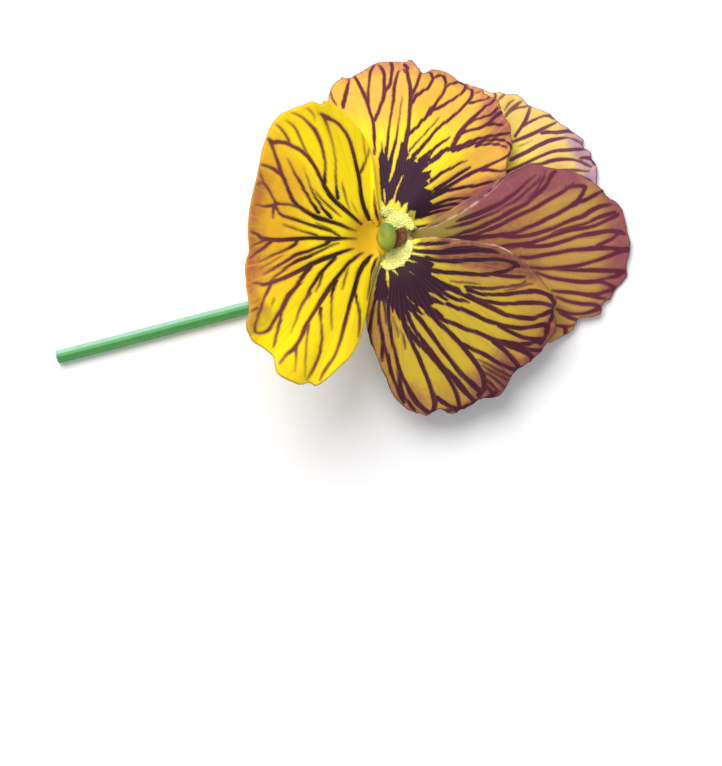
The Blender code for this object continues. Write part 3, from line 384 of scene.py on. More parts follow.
SIDE_LOWER_VEINS = (
    ((416, 245.5, 1.2), (421, 244.8, 2.4), (428, 244.5, 2.8), (435, 244.3, 3), (442, 244, 2.6),
     (449, 243.7, 1.6)),
    ((410, 250, 1), (416, 251.3, 2.4), (424, 252.3, 3), (432, 252.5, 3.6), (440, 253, 4.4),
     (448, 252, 5.6), (456, 251, 6.4), (464, 250.5, 6.4), (472, 250, 5.6), (480, 250.3, 4.8),
     (488, 251.3, 3.8), (495, 252.6, 2.6), (500, 254, 1.4)),
    ((427, 258.8, 4), (434, 260.5, 3), (442, 261.3, 3), (450, 261.5, 3), (458, 261.5, 3),
     (466, 261, 3), (474, 260.5, 3), (482, 260, 2.8), (490, 259.6, 2.8), (497, 259.5, 2.8),
     (504, 260.5, 2.8), (510, 262, 2.8), (515, 264, 3), (519, 266.5, 2.4)),
    ((429, 270.5, 3.2), (438, 271.8, 3.4), (446, 272.8, 3), (454, 273.3, 3), (462, 274, 3),
     (470, 274.5, 3), (478, 275, 3.2), (486, 275, 3.4), (493, 274.5, 3.4), (500, 273, 3.2),
     (506, 271, 2.8), (511, 269, 2.6), (516, 266.5, 2.4)),
    ((493, 275, 3), (500, 276, 2.8), (507, 276.8, 2.8), (514, 277.5, 2.6), (520, 277.8, 2.4),
     (525, 277.3, 1.6)),
    ((451, 281.5, .8), (458, 282.5, 1.3), (466, 283.3, 1.3), (474, 284, 1.1), (480, 284.5, .7)),
    ((466, 287, 2.4), (476, 288.5, 2.4), (484, 289, 2.2), (492, 289, 2), (500, 288, 2),
     (508, 287.5, 1.8), (516, 286.5, 1.8), (522, 284.5, 1.6), (526, 281.5, 1.4)),
    ((468, 290.5, 3), (475, 292.5, 2.6), (482, 294.2, 2.6), (490, 295, 2.6), (498, 295.2, 2.6),
     (506, 294.7, 2.8), (514, 293.8, 3), (522, 293, 3.2), (530, 292.5, 3.6), (537, 292.5, 3.4),
     (543, 294, 3), (548, 296, 3), (551.5, 299.5, 3)),
    ((505, 291, .8), (513, 290, 1.3), (520, 287.5, 1.4), (527, 285, 1.4), (533, 284.5, 1)),
    ((474, 298.5, 3), (482, 301, 2.8), (490, 302.5, 2.6), (498, 303.3, 2.6), (506, 304, 2.6),
     (514, 304, 2.8), (522, 303.5, 3), (530, 303.2, 3), (538, 303.3, 3), (545, 304.5, 3.2),
     (551, 306.5, 3), (555, 309, 2.4)),
    ((468, 296, 5), (474, 299, 4.4), (480, 302, 4), (486, 305, 4), (493, 308.5, 4), (500, 312, 3.8),
     (506, 315, 3.4), (513, 316.5, 3.2), (520, 318, 3.4), (527, 318.5, 3.6), (534, 318, 3.6),
     (541, 316, 3.4), (547, 313.5, 3), (552, 311, 3)),
    ((551, 297, 2.4), (553, 302, 3.2), (555, 307, 3), (554, 312, 2.6), (552, 318, 3),
     (549, 324, 3.6), (547, 331, 3.6), (545, 338, 3.4), (541, 343, 3.6)),
    ((444, 294, 3), (450, 297.3, 3), (457, 299.5, 2.8), (463, 301, 2.4), (469, 302.5, 1.4)),
    ((447, 304.5, 2.6), (457, 308, 3), (464, 310.5, 3.2), (471, 313.5, 3.2), (478, 316.5, 3),
     (485, 320, 3), (492, 322.5, 3), (499, 324.5, 3), (506, 326.5, 3), (513, 327.8, 3.2),
     (520, 328.3, 3.2), (527, 327.8, 3), (534, 327, 3), (540, 325.5, 3.4), (546, 324, 3.4)),
    ((499, 326, 2.8), (505, 329.5, 3), (511, 332.5, 3), (517, 335, 3), (523, 337.5, 3),
     (529, 339, 3), (535, 339.5, 3), (541, 339, 3)),
    ((434, 316, 3), (442, 319.5, 3), (450, 322.5, 3), (457, 325.5, 3), (464, 328.5, 3),
     (471, 331, 3), (478, 333.5, 3), (485, 336, 3), (492, 339, 3.4), (499, 341.5, 3.8),
     (506, 343, 4), (513, 344.2, 4), (520, 344.8, 4), (527, 344.3, 4), (533, 342.5, 3.6),
     (538, 341, 4)),
    ((427, 311, 4), (433, 316.5, 4), (439, 322.5, 3.6), (445, 328.5, 3.4), (450, 333.5, 3.4),
     (455, 338.5, 3.6), (460, 343.5, 4), (465, 349.5, 4), (470, 355.5, 4), (475, 362, 4),
     (479, 368, 4), (482, 374, 4), (484, 380, 4), (484.5, 386, 4.4), (483, 391, 4.6), (480, 395, 4)),
    ((459, 343, 3), (466, 346, 3), (473, 349.5, 3), (480, 353, 3), (487, 356.5, 3.2),
     (494, 360.5, 3), (501, 364.5, 3), (508, 368, 3.2), (514, 370, 3.6), (520, 370.5, 3.6),
     (525, 368.5, 3.4)),
    ((494, 341.5, 3.4), (501, 347, 3.4), (506, 351.5, 3.4), (511, 357, 3.6), (516, 362.5, 4),
     (520, 367.5, 4)),
    ((503, 344.5, 3), (508, 346.5, 3), (515, 348.5, 3.4), (522, 351, 3.6), (528, 353.5, 4),
     (532, 357.5, 4), (533, 361.5, 3.6)),
    ((520, 346.5, 3), (527, 348.5, 2.4), (534, 350.5, 3), (541, 350, 3)),
    ((409, 308, 3), (413, 311.5, 3), (417, 316, 3.4), (421, 320.5, 3.6), (425, 326, 3.8),
     (429, 331, 3.6), (433, 337, 3.4), (437, 342.5, 3.2), (441, 348, 3), (446, 354, 3),
     (451, 360, 3.2), (456, 366.5, 3.6), (461, 373, 4), (466, 378.5, 4), (472, 383.5, 4.4),
     (478, 388.5, 4.4), (482, 391, 4)),
    ((404, 308, 3), (407.5, 315, 3), (411, 322, 3), (414.5, 328.5, 2.8), (418.5, 335, 2.8),
     (423, 341, 2.8), (428, 347, 2.8), (433, 353.5, 2.8), (438, 360, 3), (443, 366.5, 3.4),
     (449, 373, 4), (455, 379, 5), (461, 386, 5), (466, 392, 4.6), (471, 397, 4), (475, 401, 3.6)),
    ((395, 305, 4), (399, 313, 4), (403, 320, 4), (407, 327, 4), (411, 333.5, 4), (416, 339.5, 4),
     (421, 345, 3.8), (426, 350, 3.8), (431, 355.5, 4), (436, 361, 4.4), (441, 367, 4.4),
     (446, 373, 4.4)),
    ((404, 325, 2.6), (408, 333, 3), (411.5, 341, 3), (415, 349, 3), (418.5, 356, 3),
     (421.5, 363, 3), (424.5, 370, 2.8), (427.5, 377, 2.8), (430, 384, 2.8), (432, 390.5, 3),
     (434, 396.5, 4), (435.5, 402, 4.4), (435, 408, 4), (433, 412.5, 3.4)),
    ((446, 373, 4), (450, 380, 3), (454, 387, 3), (457, 394, 3.2), (459, 401, 3.6), (460, 407, 3)),
    ((437, 398, 3), (443, 402.5, 3.4), (449, 406, 3), (456, 409, 3)),
    ((388.3, 300, 2.8), (389, 310, 2.6), (389.3, 320, 2.4), (390, 328, 2.4), (391.2, 335, 2.4),
     (393, 342, 2.4), (394.7, 349, 2.6), (396.3, 357, 2.6), (398.3, 365, 2.8), (401, 372.5, 3),
     (404.5, 380, 3), (408, 387.5, 3.4), (412, 394.5, 4), (416.5, 401, 4.4), (422, 407, 4),
     (428, 412, 3.6)),
    ((393.5, 318, .6), (396, 326, 1.1), (398.5, 333, 1), (399, 337, .6)),
    ((401, 330, .7), (403.5, 337, 1.4), (405, 343, 1.5), (406, 349, 1)),
    ((380.3, 300, 2), (379.5, 308, 2), (379.6, 315, 2.2), (380.5, 323, 2.4), (382, 332, 2.4),
     (383.5, 341, 2.6), (385.5, 350, 2.8), (388, 359, 2.8), (390.5, 368, 3), (393, 376, 3),
     (396, 384, 3), (399, 391, 3.2), (402, 397, 3), (405, 402.5, 2.4)),
    ((397, 370, 1.2), (399.5, 378, 2.4), (401, 386, 3), (403, 393, 3), (406.5, 399.5, 2.6),
     (411, 405, 2.6), (415, 410, 2.2)),
    ((384.5, 265, .8), (382, 270, 2.4), (380, 277, 3), (378.5, 285, 3), (377, 293, 2.8),
     (375.5, 301, 2.4), (374, 308, 2.2), (372.5, 315, 2.2), (371.3, 322, 2.6), (370.8, 329, 3.4),
     (370.5, 336, 3.6), (371.5, 342, 2.6), (373.5, 347, 2), (375, 351, 1.4)),
    ((382.5, 341, 1.4), (383.5, 348, 2.6), (383, 355, 2.4), (382.8, 361, 1.4)),
    ((384, 298, 2.6), (385, 304, 2), (386, 311, 1.8), (386.5, 318, 1.6), (387, 324, 1)),
    ((483, 366, 1.2), (489, 370, 1.7), (495, 373.5, 1.7), (501, 377, 1.7), (507, 380, 1.7)),
    ((484, 372, 1.4), (490, 376, 1.9), (496, 380, 1.9), (501, 384, 1.9), (505, 388, 1.9)),
    ((485, 379, 1.6), (491, 384, 2), (496, 388.5, 2), (500, 392, 2)),
    ((486, 386, 2), (491, 391, 2.4), (494, 395, 2.4)),
    ((478, 360, 1), (485, 363, 1.5), (492, 367, 1.7), (499, 371, 1.7), (506, 374.5, 1.8),
     (511, 377, 1.8)),
    ((425, 411, 1.6), (435, 413, 3), (447, 411, 2), (458, 410, 2.6), (468, 406, 3), (478, 402, 3.4),
     (489, 397.5, 3.4), (496, 393, 3)),
)
TOP_FRONT_VEINS = (
    ((457, 222, 1.6), (466, 219, 3.6), (474, 216, 4.4), (482, 212.5, 4.4), (489, 209, 4),
     (496, 206, 3.6), (503, 202.5, 3.2), (510, 198, 3), (516, 193.5, 2.6), (521, 188.5, 2.2),
     (526, 184, 2), (531, 180, 1.6), (536, 176, 1.1)),
    ((500, 210, .8), (508, 206, 1.6), (515, 202, 1.8), (521, 197, 2), (527, 192, 2), (533, 187, 1.8),
     (538, 182, 1.6), (541, 177, 1.1)),
    ((446, 229.5, .8), (458, 226.5, 2), (465, 224.5, 2.6), (472, 222.5, 2.6), (480, 219, 2.2),
     (488, 215.5, 2), (496, 212.5, 1.8), (503, 209.5, 1.2)),
    ((450, 238, 1.6), (457, 236, 2), (463, 233.5, 2.6), (470, 231.5, 2.8), (477, 229, 3),
     (484, 226, 3.4), (491, 223, 3.4), (498, 219.5, 3.2), (505, 215.5, 3.4), (512, 211.5, 3.4),
     (519, 208, 3.4), (526, 204, 3.2), (532, 199.5, 3), (538, 194.5, 3), (543, 189.5, 3.2),
     (547, 184.5, 3.2), (550, 179.5, 3.4), (552.5, 174.5, 3.2), (555.5, 172, 2.4)),
    ((464, 237, 2.6), (472, 236, 2.4), (479, 234, 2.4), (486, 231.5, 2.6), (493, 229, 2.8),
     (500, 225.5, 2.8), (507, 222, 2.8), (514, 218.5, 2.8), (521, 215, 2.8), (528, 212, 2.6),
     (535, 208.5, 2.6), (541, 205, 2.6), (547, 201.5, 2.6), (553, 198, 2.6), (559, 194.5, 2.6),
     (565, 190.5, 2.4), (570, 187.5, 2), (574, 184, 1.4)),
    ((566, 189, 2.4), (573, 187, 3), (580, 186.5, 3), (585, 188, 3), (583, 193, 3), (580, 198, 3.4),
     (577, 203, 4), (571, 206.5, 3.4)),
    ((448, 238, 1.6), (456, 238, 3), (464, 238.5, 3.6), (472, 239, 3.6), (480, 238.5, 3.4),
     (488, 237.5, 3.4), (496, 236.5, 3.6), (504, 235, 3.8), (511, 234, 3.2), (518, 232, 3),
     (525, 229.5, 3), (532, 227, 3), (539, 223.5, 3), (546, 220, 3), (552, 217, 3), (558, 214, 3),
     (564, 210.5, 3), (570, 207, 3.4), (577, 202.5, 4), (584, 201, 3), (592, 197, 2.8),
     (598, 193.5, 2.4), (603, 191.5, 1.8)),
    ((504, 237, 3), (512, 237.8, 3), (520, 237.5, 3), (528, 236.5, 3), (536, 234.5, 3),
     (543, 232, 3), (550, 229.5, 3), (557, 227, 3), (564, 224, 3), (570, 221.5, 3), (576, 219, 3.4),
     (582, 217, 3.6), (588, 213.5, 4), (594, 210, 3.8), (600, 207, 3.2), (606, 205.5, 2.6),
     (611, 205, 1.8)),
    ((497, 248, 1.4), (504, 246.8, 2.2), (511, 245.8, 3), (518, 245.5, 3.6), (525, 245, 4),
     (531, 243.5, 3.4), (538, 241, 3), (545, 239, 3), (552, 236.7, 3), (560, 234, 2.8),
     (567, 231.7, 2.8), (574, 230, 2.6), (581, 229.2, 2.6), (588, 227.8, 2.6), (595, 226, 2.6),
     (602, 223, 2.8), (608, 220.5, 3), (614, 218, 3), (618, 215, 2.6)),
    ((531, 235.5, 1.4), (540, 233.5, 1)),
    ((553, 234, 1.6), (561, 231, 2.2), (569, 228.5, 2.2), (576, 226.5, 2.4), (583, 225, 2.4),
     (590, 222.5, 2.4), (597, 219, 2.6), (603, 216.5, 2.8), (609, 214.5, 2.8), (615, 213, 2.6)),
    ((525, 246.5, 4), (533, 247, 3), (541, 246.8, 3), (549, 245.8, 3), (557, 243.8, 3),
     (564, 241.5, 3), (571, 239.3, 3), (578, 237.3, 3), (585, 236, 3.6), (592, 235, 4),
     (599, 233.5, 3.6), (606, 232.3, 3), (613, 232, 3), (620, 233, 3.4), (624, 235, 3)),
    ((597, 246.3, 2.2), (603, 243.8, 2.6), (609, 241, 2.6), (614, 238, 2.6), (618, 234.5, 3)),
    ((500, 250, 1.2), (508, 249, 1.4), (516, 248.3, 1.6)),
    ((520, 257, 1.8), (527, 257.8, 2.8), (535, 257.3, 3), (543, 255.8, 3), (551, 254.2, 3),
     (559, 252.8, 3), (566, 251.6, 3), (573, 250.8, 3), (580, 250.3, 3), (587, 249.8, 3.4),
     (594, 249, 4), (601, 248.5, 3.6), (608, 248.5, 3), (615, 249, 3), (622, 250, 4), (627, 250, 5)),
    ((530, 267, 1.8), (537, 268, 2.6), (544, 268.7, 2.8), (551, 269, 2.8), (558, 268.5, 2.8),
     (565, 267.8, 2.6), (572, 266.8, 2.6), (579, 265.5, 2.6), (586, 263.8, 2.6), (593, 262, 2.6),
     (600, 260, 2.8), (606, 257.5, 3), (612, 255.5, 3), (618, 253, 3.4), (623, 251, 3.6)),
    ((556, 270, 2.2), (565, 270.5, 2.6), (572, 271, 2.6), (579, 271, 2.6), (586, 270.8, 2.6),
     (593, 270.5, 3), (600, 270.5, 3), (607, 270.7, 3), (613, 271, 3), (619, 271.5, 3.6),
     (624, 272, 3.6)),
    ((536, 273, 1.4), (542, 275.5, 2), (548, 277.5, 2.4), (554, 279, 2.6), (560, 280, 2.6),
     (566, 281, 2.6), (573, 282, 2.8), (580, 282.5, 2.8), (587, 282.3, 3), (594, 281.5, 3.4),
     (600, 281, 3.8), (606, 283, 3), (612, 286, 3), (617, 290, 3.4)),
    ((600, 280, 3), (606, 279, 2.4), (612, 278, 2.4), (617, 276.5, 2.4), (621, 274, 2.4)),
    ((552, 291, 1.6), (558, 292, 2.4), (564, 292.7, 2.6), (571, 293.3, 2.6), (578, 294, 3),
     (585, 295, 3.4), (592, 295.5, 4), (599, 294.5, 3.6), (605, 292.5, 3), (611, 291, 3),
     (616, 291, 2.6)),
    ((592, 297, 2.2), (599, 298.5, 2.4), (605, 299, 1.8)),
    ((556, 297, 1.4), (561, 299, 2), (567, 301.5, 2.2), (574, 303, 2.4), (581, 304.3, 2.6),
     (588, 304.5, 2.6), (594, 305, 3), (599, 307, 3.8)),
    ((557, 309, 1.8), (562, 311, 2.2), (568, 312.8, 2.4), (575, 314, 2.4), (582, 314, 2.4),
     (588, 313, 2.4), (594, 311, 2.6), (599, 309, 3)),
    ((560, 313, 1.8), (566, 316, 2.4), (572, 318.5, 2.4), (577, 320, 2)),
    ((556, 326, 1.6), (563, 326.5, 2.4), (570, 326.5, 2), (575, 325, 1.3)),
    ((565, 327, 2.6), (565.5, 331, 3.6), (565, 335, 2.2)),
    ((546, 172, 1), (544, 178, 1.7), (541, 184, 1.8), (537, 190, 1.8), (533, 195, 1.7),
     (528, 200, 1.2)),
)
TOP_BACK_VEINS = (
    ((494, 92, 1.5), (496, 96, 2), (495, 101, 2.2)),
    ((488, 104, 2.6), (490, 107.5, 2.6), (494, 107, 1.6), (500, 108.5, 2)),
    ((499, 101, 1.2), (502, 98, 1.6), (505, 95, 1.4)),
    ((505, 110.5, 1), (508, 105.5, 1.6), (511, 102.5, 1.4), (514, 101, .9)),
    ((506, 117, 1.6), (508.5, 113.5, 1.8), (511, 110.5, 2), (515, 107, 2), (519, 104, 1.8),
     (522, 102, 1.2)),
    ((508.5, 114, 1.6), (514, 110, 2), (519, 108.5, 2), (524, 107.5, 1.8), (528, 106.5, 1.4),
     (530, 108, 1.5), (529, 113, 2), (527.5, 118, 2.4), (525, 123, 2.6), (522, 127.5, 2.6),
     (519, 132, 2.4), (515.5, 137, 2.4)),
    ((523, 127, 2.2), (528, 124, 2.2), (533, 121.5, 2.2), (538, 119, 2), (543, 117, 1.8),
     (549, 116.5, 2.2), (554, 119, 1.6)),
    ((511, 143, 2), (516, 141.3, 2.2), (521, 139.5, 2.4), (526, 137.5, 2.6), (532, 135, 2.6),
     (538, 132.5, 2.6), (543, 130, 2.4), (548, 127.5, 2.2), (553, 125, 2), (557, 123, 1.6)),
    ((542, 134, 2.8), (547, 133, 3.4), (553, 133, 2.4), (559, 133, 2.2), (565, 132.5, 2.4),
     (569, 132, 2.8), (575, 134.5, 1.2)),
    ((511, 160.5, 2), (516, 157.7, 2.6), (521, 155.3, 2.7), (526, 153, 2.8), (531, 150.5, 2.8),
     (537, 147, 2.8), (543, 144.5, 2.8), (549, 142, 2.8), (555, 140.5, 2.6), (561, 139.3, 2.6),
     (567, 138.7, 2), (573, 139.5, 1.6), (578, 142, 1.6), (584, 145, 1.4)),
    ((519, 147.5, .7), (524, 145.5, 1.1), (529, 143, .9), (533, 141.5, .6)),
    ((507, 173, 2.6), (514, 169.5, 2.8), (520, 167, 2.8), (526, 164, 2.8), (532, 161, 2.6),
     (538, 158, 2.6), (544, 155.5, 2.6), (550, 153, 2.6), (556, 151.7, 2.6), (562, 151, 2.4),
     (568, 150.7, 2.2), (574, 150.3, 2.2), (580, 150, 2.4), (585, 149.5, 1.8)),
    ((524, 166, 1.4), (532, 165.5, 2), (538, 165, 2), (544, 164, 2.2), (550, 162, 2.6),
     (556, 160.8, 2.6), (562, 160, 2.6), (568, 160, 2.4), (574, 160.3, 2.2), (580, 162, 2),
     (586, 165, 2), (592, 168, 1.8)),
    ((580, 158.5, 1.8), (586, 158, 2.8), (592, 160, 2.6), (595, 165, 2.2)),
    ((550, 172, 1.2), (556, 171.5, 1.6), (562, 170.8, 1.8), (568, 171, 2), (574, 171, 2),
     (580, 171.5, 2), (586, 172, 2), (590, 171.5, 1.6)),
    ((570, 172.5, 1.6), (576, 174.5, 1.8), (582, 177, 1.8), (588, 180.5, 2), (593, 185, 2.2),
     (598, 189, 2.2)),
)
VEINS = {
    "petal_lower": LOWER_VEINS, "petal_side_upper": SIDE_UPPER_VEINS,
    "petal_side_lower": SIDE_LOWER_VEINS, "petal_top_front": TOP_FRONT_VEINS,
    "petal_top_back": TOP_BACK_VEINS,
}

# The dark blotch of a side petal, as its whole jagged outline in (across, down)
BLOTCHES = {
    "petal_side_upper": ((382, 200), (386.5, 206.5), (390, 201), (393, 199), (396, 203.5),
        (398.5, 200.5), (400.5, 203), (402, 207.5), (405, 204), (408.5, 202.5), (407, 212.5), (411, 210),
        (416, 210.5), (414.5, 219.5), (423, 217.5), (431, 214.5), (428, 209.5), (433, 204.5), (429, 201),
        (437, 197.5), (431, 195.5), (434, 191.5), (427, 190), (424, 188.5), (430, 184.5), (426, 181.5),
        (431, 178.5), (430, 176), (432, 171.5), (421, 173.5), (430, 165), (428, 163.5), (433, 160),
        (429.5, 158.5), (433, 154), (426, 157), (417, 164), (414.5, 162.5), (417, 158), (413, 158),
        (406.5, 161), (409, 155.5), (408.3, 152.5), (407, 147), (405, 143), (402, 143), (400.5, 150),
        (398.5, 157), (397, 163), (395.5, 170), (393, 177), (390, 184), (389, 182), (391.5, 172),
        (393, 163), (393.5, 157), (391, 157), (388.5, 162), (388, 157), (385.5, 157), (384.5, 154),
        (381.5, 152), (380, 156), (379.2, 161), (380, 170), (380.5, 180), (381.2, 190)),
    "petal_side_lower": ((384, 267.5), (385.7, 272), (385.8, 279), (387.5, 287), (389.3, 291),
        (390.5, 286), (390.3, 278), (389.2, 270.5), (393, 272.8), (398.5, 276.8), (399.3, 275.5),
        (396.5, 271.5), (395.5, 269.3), (399, 268.2), (404, 268), (406.5, 266.3), (402.5, 262),
        (401.8, 260.6), (407, 262), (413, 263.5), (419, 264), (414, 261.5), (409, 258.6), (407.8, 256),
        (413, 256), (420, 257), (427, 258.5), (430, 262), (434, 265), (431, 268.5), (436, 270.5),
        (431, 273), (431, 276), (436, 278.5), (441, 281.5), (445, 283), (452, 286), (459, 288.5),
        (462, 293), (470, 297), (474, 298.5), (470, 300), (462, 296), (452, 291.5), (441, 290),
        (446, 294), (441, 296), (449, 300), (445, 300.5), (438, 296), (430, 291), (428, 294),
        (436, 299.5), (447, 305), (443, 304.5), (434, 303), (430, 306), (437, 311), (444, 316.5),
        (441, 318.5), (439, 319), (433, 315), (427, 311), (420, 306.5), (416, 305), (420, 311),
        (424, 315), (420, 313.5), (414, 310), (410, 307), (408, 311), (411, 316.5), (408, 315),
        (404, 308), (402, 306), (404.5, 314), (408, 322), (403, 318), (399, 311), (395, 305), (393, 312),
        (391, 306), (390, 299), (388, 297), (387.5, 303), (386, 299), (384, 297), (382.5, 301),
        (381, 299), (380, 302), (378, 300), (376, 302), (377.5, 292), (379, 284), (380.5, 275),
        (382, 270)),
}

# Pale streaks inside a blotch, laid over it as (across, down, width)
BLOTCH_LIGHTS = {
    "petal_side_upper": (
        ((385.5, 203, 1.2), (385, 197, 2.2), (384.5, 190, 1.4)),
        ((404, 176, .8), (402, 179, 1.8), (400, 184, 1.4), (398, 188.5, 2), (396, 194, 1.2),
         (395, 198, 2.4), (394, 202, 2.8)),
        ((414, 219, .8), (409, 211.5, .8)),
    ),
    "petal_side_lower": (
        ((409, 271.5, .8), (412.5, 273.8, 1.3), (416, 276, .6)),
        ((407, 296.5, .8), (410, 300, 1.6), (414, 304.5, 2)),
        ((403.5, 257.5, 1), (409, 260, 1.2), (415, 261.8, 1), (421, 263, .5)),
    ),
}

# Claws spread into lobes on the receptacle: height, bowl, two colours, (direction, radius) round the
# throat's middle. Three petals have a second, raised lobe: the smooth gold dish in front of the stigma,
# and the cushions that carry the beards.
FEET = {
    "petal_lower": (5.86, -0.06, "#efba26", "#f2efae", (
        (108, 1.8), (120, 2.5), (150, 2.8), (180, 2.9), (210, 2.8), (240, 2.5), (252, 1.8))),
    "petal_lower_floor": (7.42, 0.283, "#e6b21e", "#eac420", (
        (100, 1.8), (118, 2.3), (135, 2.65), (150, 3.2), (165, 3.65), (180, 3.8), (195, 3.65), (210, 3.2),
        (225, 2.65), (242, 2.3), (260, 1.8))),
    "petal_side_upper_floor": (6.75, 0.1, "#e8ea7c", "#f4f4b0", (
        (14, 2.0), (30, 2.7), (65, 3.1), (98, 2.9), (119, 2.6), (134, 2.0))),
    "petal_side_lower_floor": (6.75, 0.1, "#e8ea7c", "#f4f4b0", (
        (-134, 2.0), (-119, 2.6), (-98, 2.9), (-62, 3.1), (-30, 3.0), (-10, 2.8), (-2, 2.0))),
    "petal_side_upper": (5.74, -0.03, "#f0f096", "#f8f8c8", (
        (14, 2.0), (40, 2.6), (70, 2.8), (92, 3.6), (101, 5.4), (112, 5.8), (121, 4.0), (134, 2.2))),
    "petal_side_lower": (5.72, -0.03, "#f2f2b0", "#fafad0", (
        (-134, 2.2), (-121, 4.0), (-112, 6.2), (-101, 6.0), (-92, 3.8), (-70, 2.8), (-40, 2.6), (-14, 2.0))),
    "petal_top_front": (6.2, -0.02, "#c6c072", "#e8e6a0", (
        (-48, 2.2), (-35, 3.0), (-15, 3.5), (10, 3.6), (30, 3.2), (48, 2.2))),
}

# Millimetres from a vein's traced edge: end of its brown border, end and start of the vein's own blur
EDGES = {
    "petal_lower": (0.32, 0.14, -0.06), "petal_side_upper": (0.20, 0.08, -0.05),
    "petal_side_lower": (0.27, 0.14, -0.01), "petal_top_front": (0.34, 0.13, -0.02),
    "petal_top_back": (0.22, 0.12, -0.02),
}

# Curled rims whose pale edge is a painted highlight where it catches the light: middle and spread in
# degrees, and the reach where they end
HIGHLIGHT_RIMS = {"petal_top_front": (36.0, 12.0, 14.0), "petal_side_lower": (70.0, 26.0, 15.0)}

# Washes of colour over a petal's ground, each round a direction and growing from one reach to another
WASHES = {
    "petal_lower": (
        Wash("gold", -6, 48, 5.0, 10.0, 0.95), Wash("gold", 0, 220, 3.6, 1.6, 0.8),
        Wash("rose", -2, 34, 10.2, 13.0, 0.85), Wash("rose", 18, 28, 12.6, 14.0, 0.7),
        Wash("gold", 88, 16, 6.0, 11.0, 0.3), Wash("gold", 45, 50, 14.5, 17.5, 0.3),
        Wash("gold", -46, 34, 11.0, 14.5, 0.25),
    ),
    "petal_side_upper": (
        Wash("gold", 0, 130, 9.5, 14.5, 0.85), Wash("gold", 30, 12, 9.5, 12.0, 0.7),
        Wash("rose", 0, 120, 15.6, 17.8, 0.75), Wash("rose", -30, 24, 13.4, 16.0, 0.95),
        Wash("gold", -42, 26, 4.0, 6.5, 0.9), Wash("rose", -56, 22, 2.8, 5.0, 0.95),
        Wash("lime", 0, 150, 3.4, 2.4, 0.95),
    ),
    "petal_side_lower": (
        Wash("gold", -52, 30, 4.0, 7.5, 0.9), Wash("gold", 0, 150, 13.0, 17.4, 0.8),
        Wash("rose", 0, 130, 17.1, 18.7, 0.9), Wash("rose", -34, 22, 12.5, 16.0, 0.6),
        Wash("rose", 11, 13, 14.0, 17.5, 0.9), Wash("rose", 67, 20, 3.0, 5.5, 0.9),
        Wash("gold", 52, 14, 4.5, 8.0, 0.7), Wash("lime", 0, 150, 3.4, 2.4, 0.95),
    ),
    "petal_top_front": (
        Wash("gold", 20, 60, 9.0, 4.0, 0.7), Wash("rose", 34, 15, 5.0, 8.5, 0.98),
        Wash("gold", 9, 26, 18.0, 11.0, 0.8), Wash("gold", 10, 110, 20.0, 24.0, 0.6),
        Wash("rose", 10, 110, 21.5, 24.2, 0.9),
        # Painted shade: with this petal's dark olive lime, these two washes paint the shade at its foot
        # between the side petals
        Wash("lime", 14, 24, 9.5, 5.5, 0.95), Wash("lime", 20, 70, 6.0, 3.5, 0.95),
    ),
    "petal_top_back": (
        Wash("gold", 0, 130, 15.5, 19.5, 0.65), Wash("rose", -14, 20, 20.4, 22.0, 0.9),
        Wash("rose", 0, 130, 22.2, 23.0, 0.7), Wash("lime", 0, 100, 7.0, 3.5, 0.9),
    ),
}

# Colours of each petal: ground, the three washes over it, veins near the throat and near the margin, rim
PALETTES = {
    "petal_lower": ("#fbde06", "#e6aa24", "#a85e3a", "#ecc928", "#20060c", "#74343a", "#c48a3e"),
    "petal_side_upper": ("#f3d722", "#e7ac46", "#b8685c", "#f0e848", "#2a1030", "#5e2038", "#6a3048"),
    # Painted shade: the lower side petal is coloured a duller olive and bronze than the upper one, standing
    # for the shade it lies in
    "petal_side_lower": ("#c4a62c", "#ae7d3c", "#7a3f3e", "#f0e848", "#2c0e26", "#421626", "#4e2434"),
    # Painted shade: the front top petal is coloured a darker tan than the back one, standing for the shade
    # on its face, and its lime is a dark olive that paints the shade at its foot
    "petal_top_front": ("#bb8e46", "#98603e", "#8c4a54", "#92803a", "#441828", "#5e2236", "#6c3a4a"),
    "petal_top_back": ("#f2da52", "#e0b474", "#ac86a0", "#957c42", "#481a2c", "#66304a", "#745078"),
}

# Each sepal by its direction, its heights from root to tip, and its length
SEPALS = (
    (9.0, (4.15, 3.5, 2.7, 2.0, 1.45, 1.05), 8.0),
    (55.0, (4.15, 3.5, 2.75, 2.1, 1.6, 1.3), 7.6),
    (127.0, (4.15, 4.25, 4.35, 4.4, 4.4, 4.3), 8.2),
    (-124.0, (4.15, 4.3, 4.45, 4.5, 4.5, 4.4), 8.2),
    (-40.0, (4.15, 3.95, 3.65, 3.3, 2.9, 2.5), 8.0),
)
SEPAL_ROOT_RADIUS = 1.1
SEPAL_HALF_WIDTH = 1.15
SEPAL_HALF_THICKNESS = 0.26

# Profiles and short routes as (radius, height)
RECEPTACLE = ((0.0, 3.60), (0.75, 3.66), (1.25, 3.95), (1.50, 4.40), (1.55, 4.90), (1.45, 5.55), (0.0, 5.6))
EAR_ROUTE = ((1.15, 4.2), (1.6, 3.85), (1.9, 3.4), (2.0, 2.9))
ANTHER_PROFILE = (
    (0.85, 5.9), (1.12, 5.9), (1.24, 6.3), (1.30, 6.9), (1.22, 7.35), (1.02, 7.62), (0.88, 7.5))
FLAP_ROUTE = ((1.1, 7.0), (1.25, 7.5), (1.55, 7.85), (1.9, 7.95), (2.2, 7.85))

# The rust flaps on the anthers, by direction and by share of the full length
FLAPS = ((-28.0, 0.74), (-3.0, 0.95), (24.0, 1.0))

# Wall of the ring of anthers at its middling thickness
ANTHER_WALL = 0.37

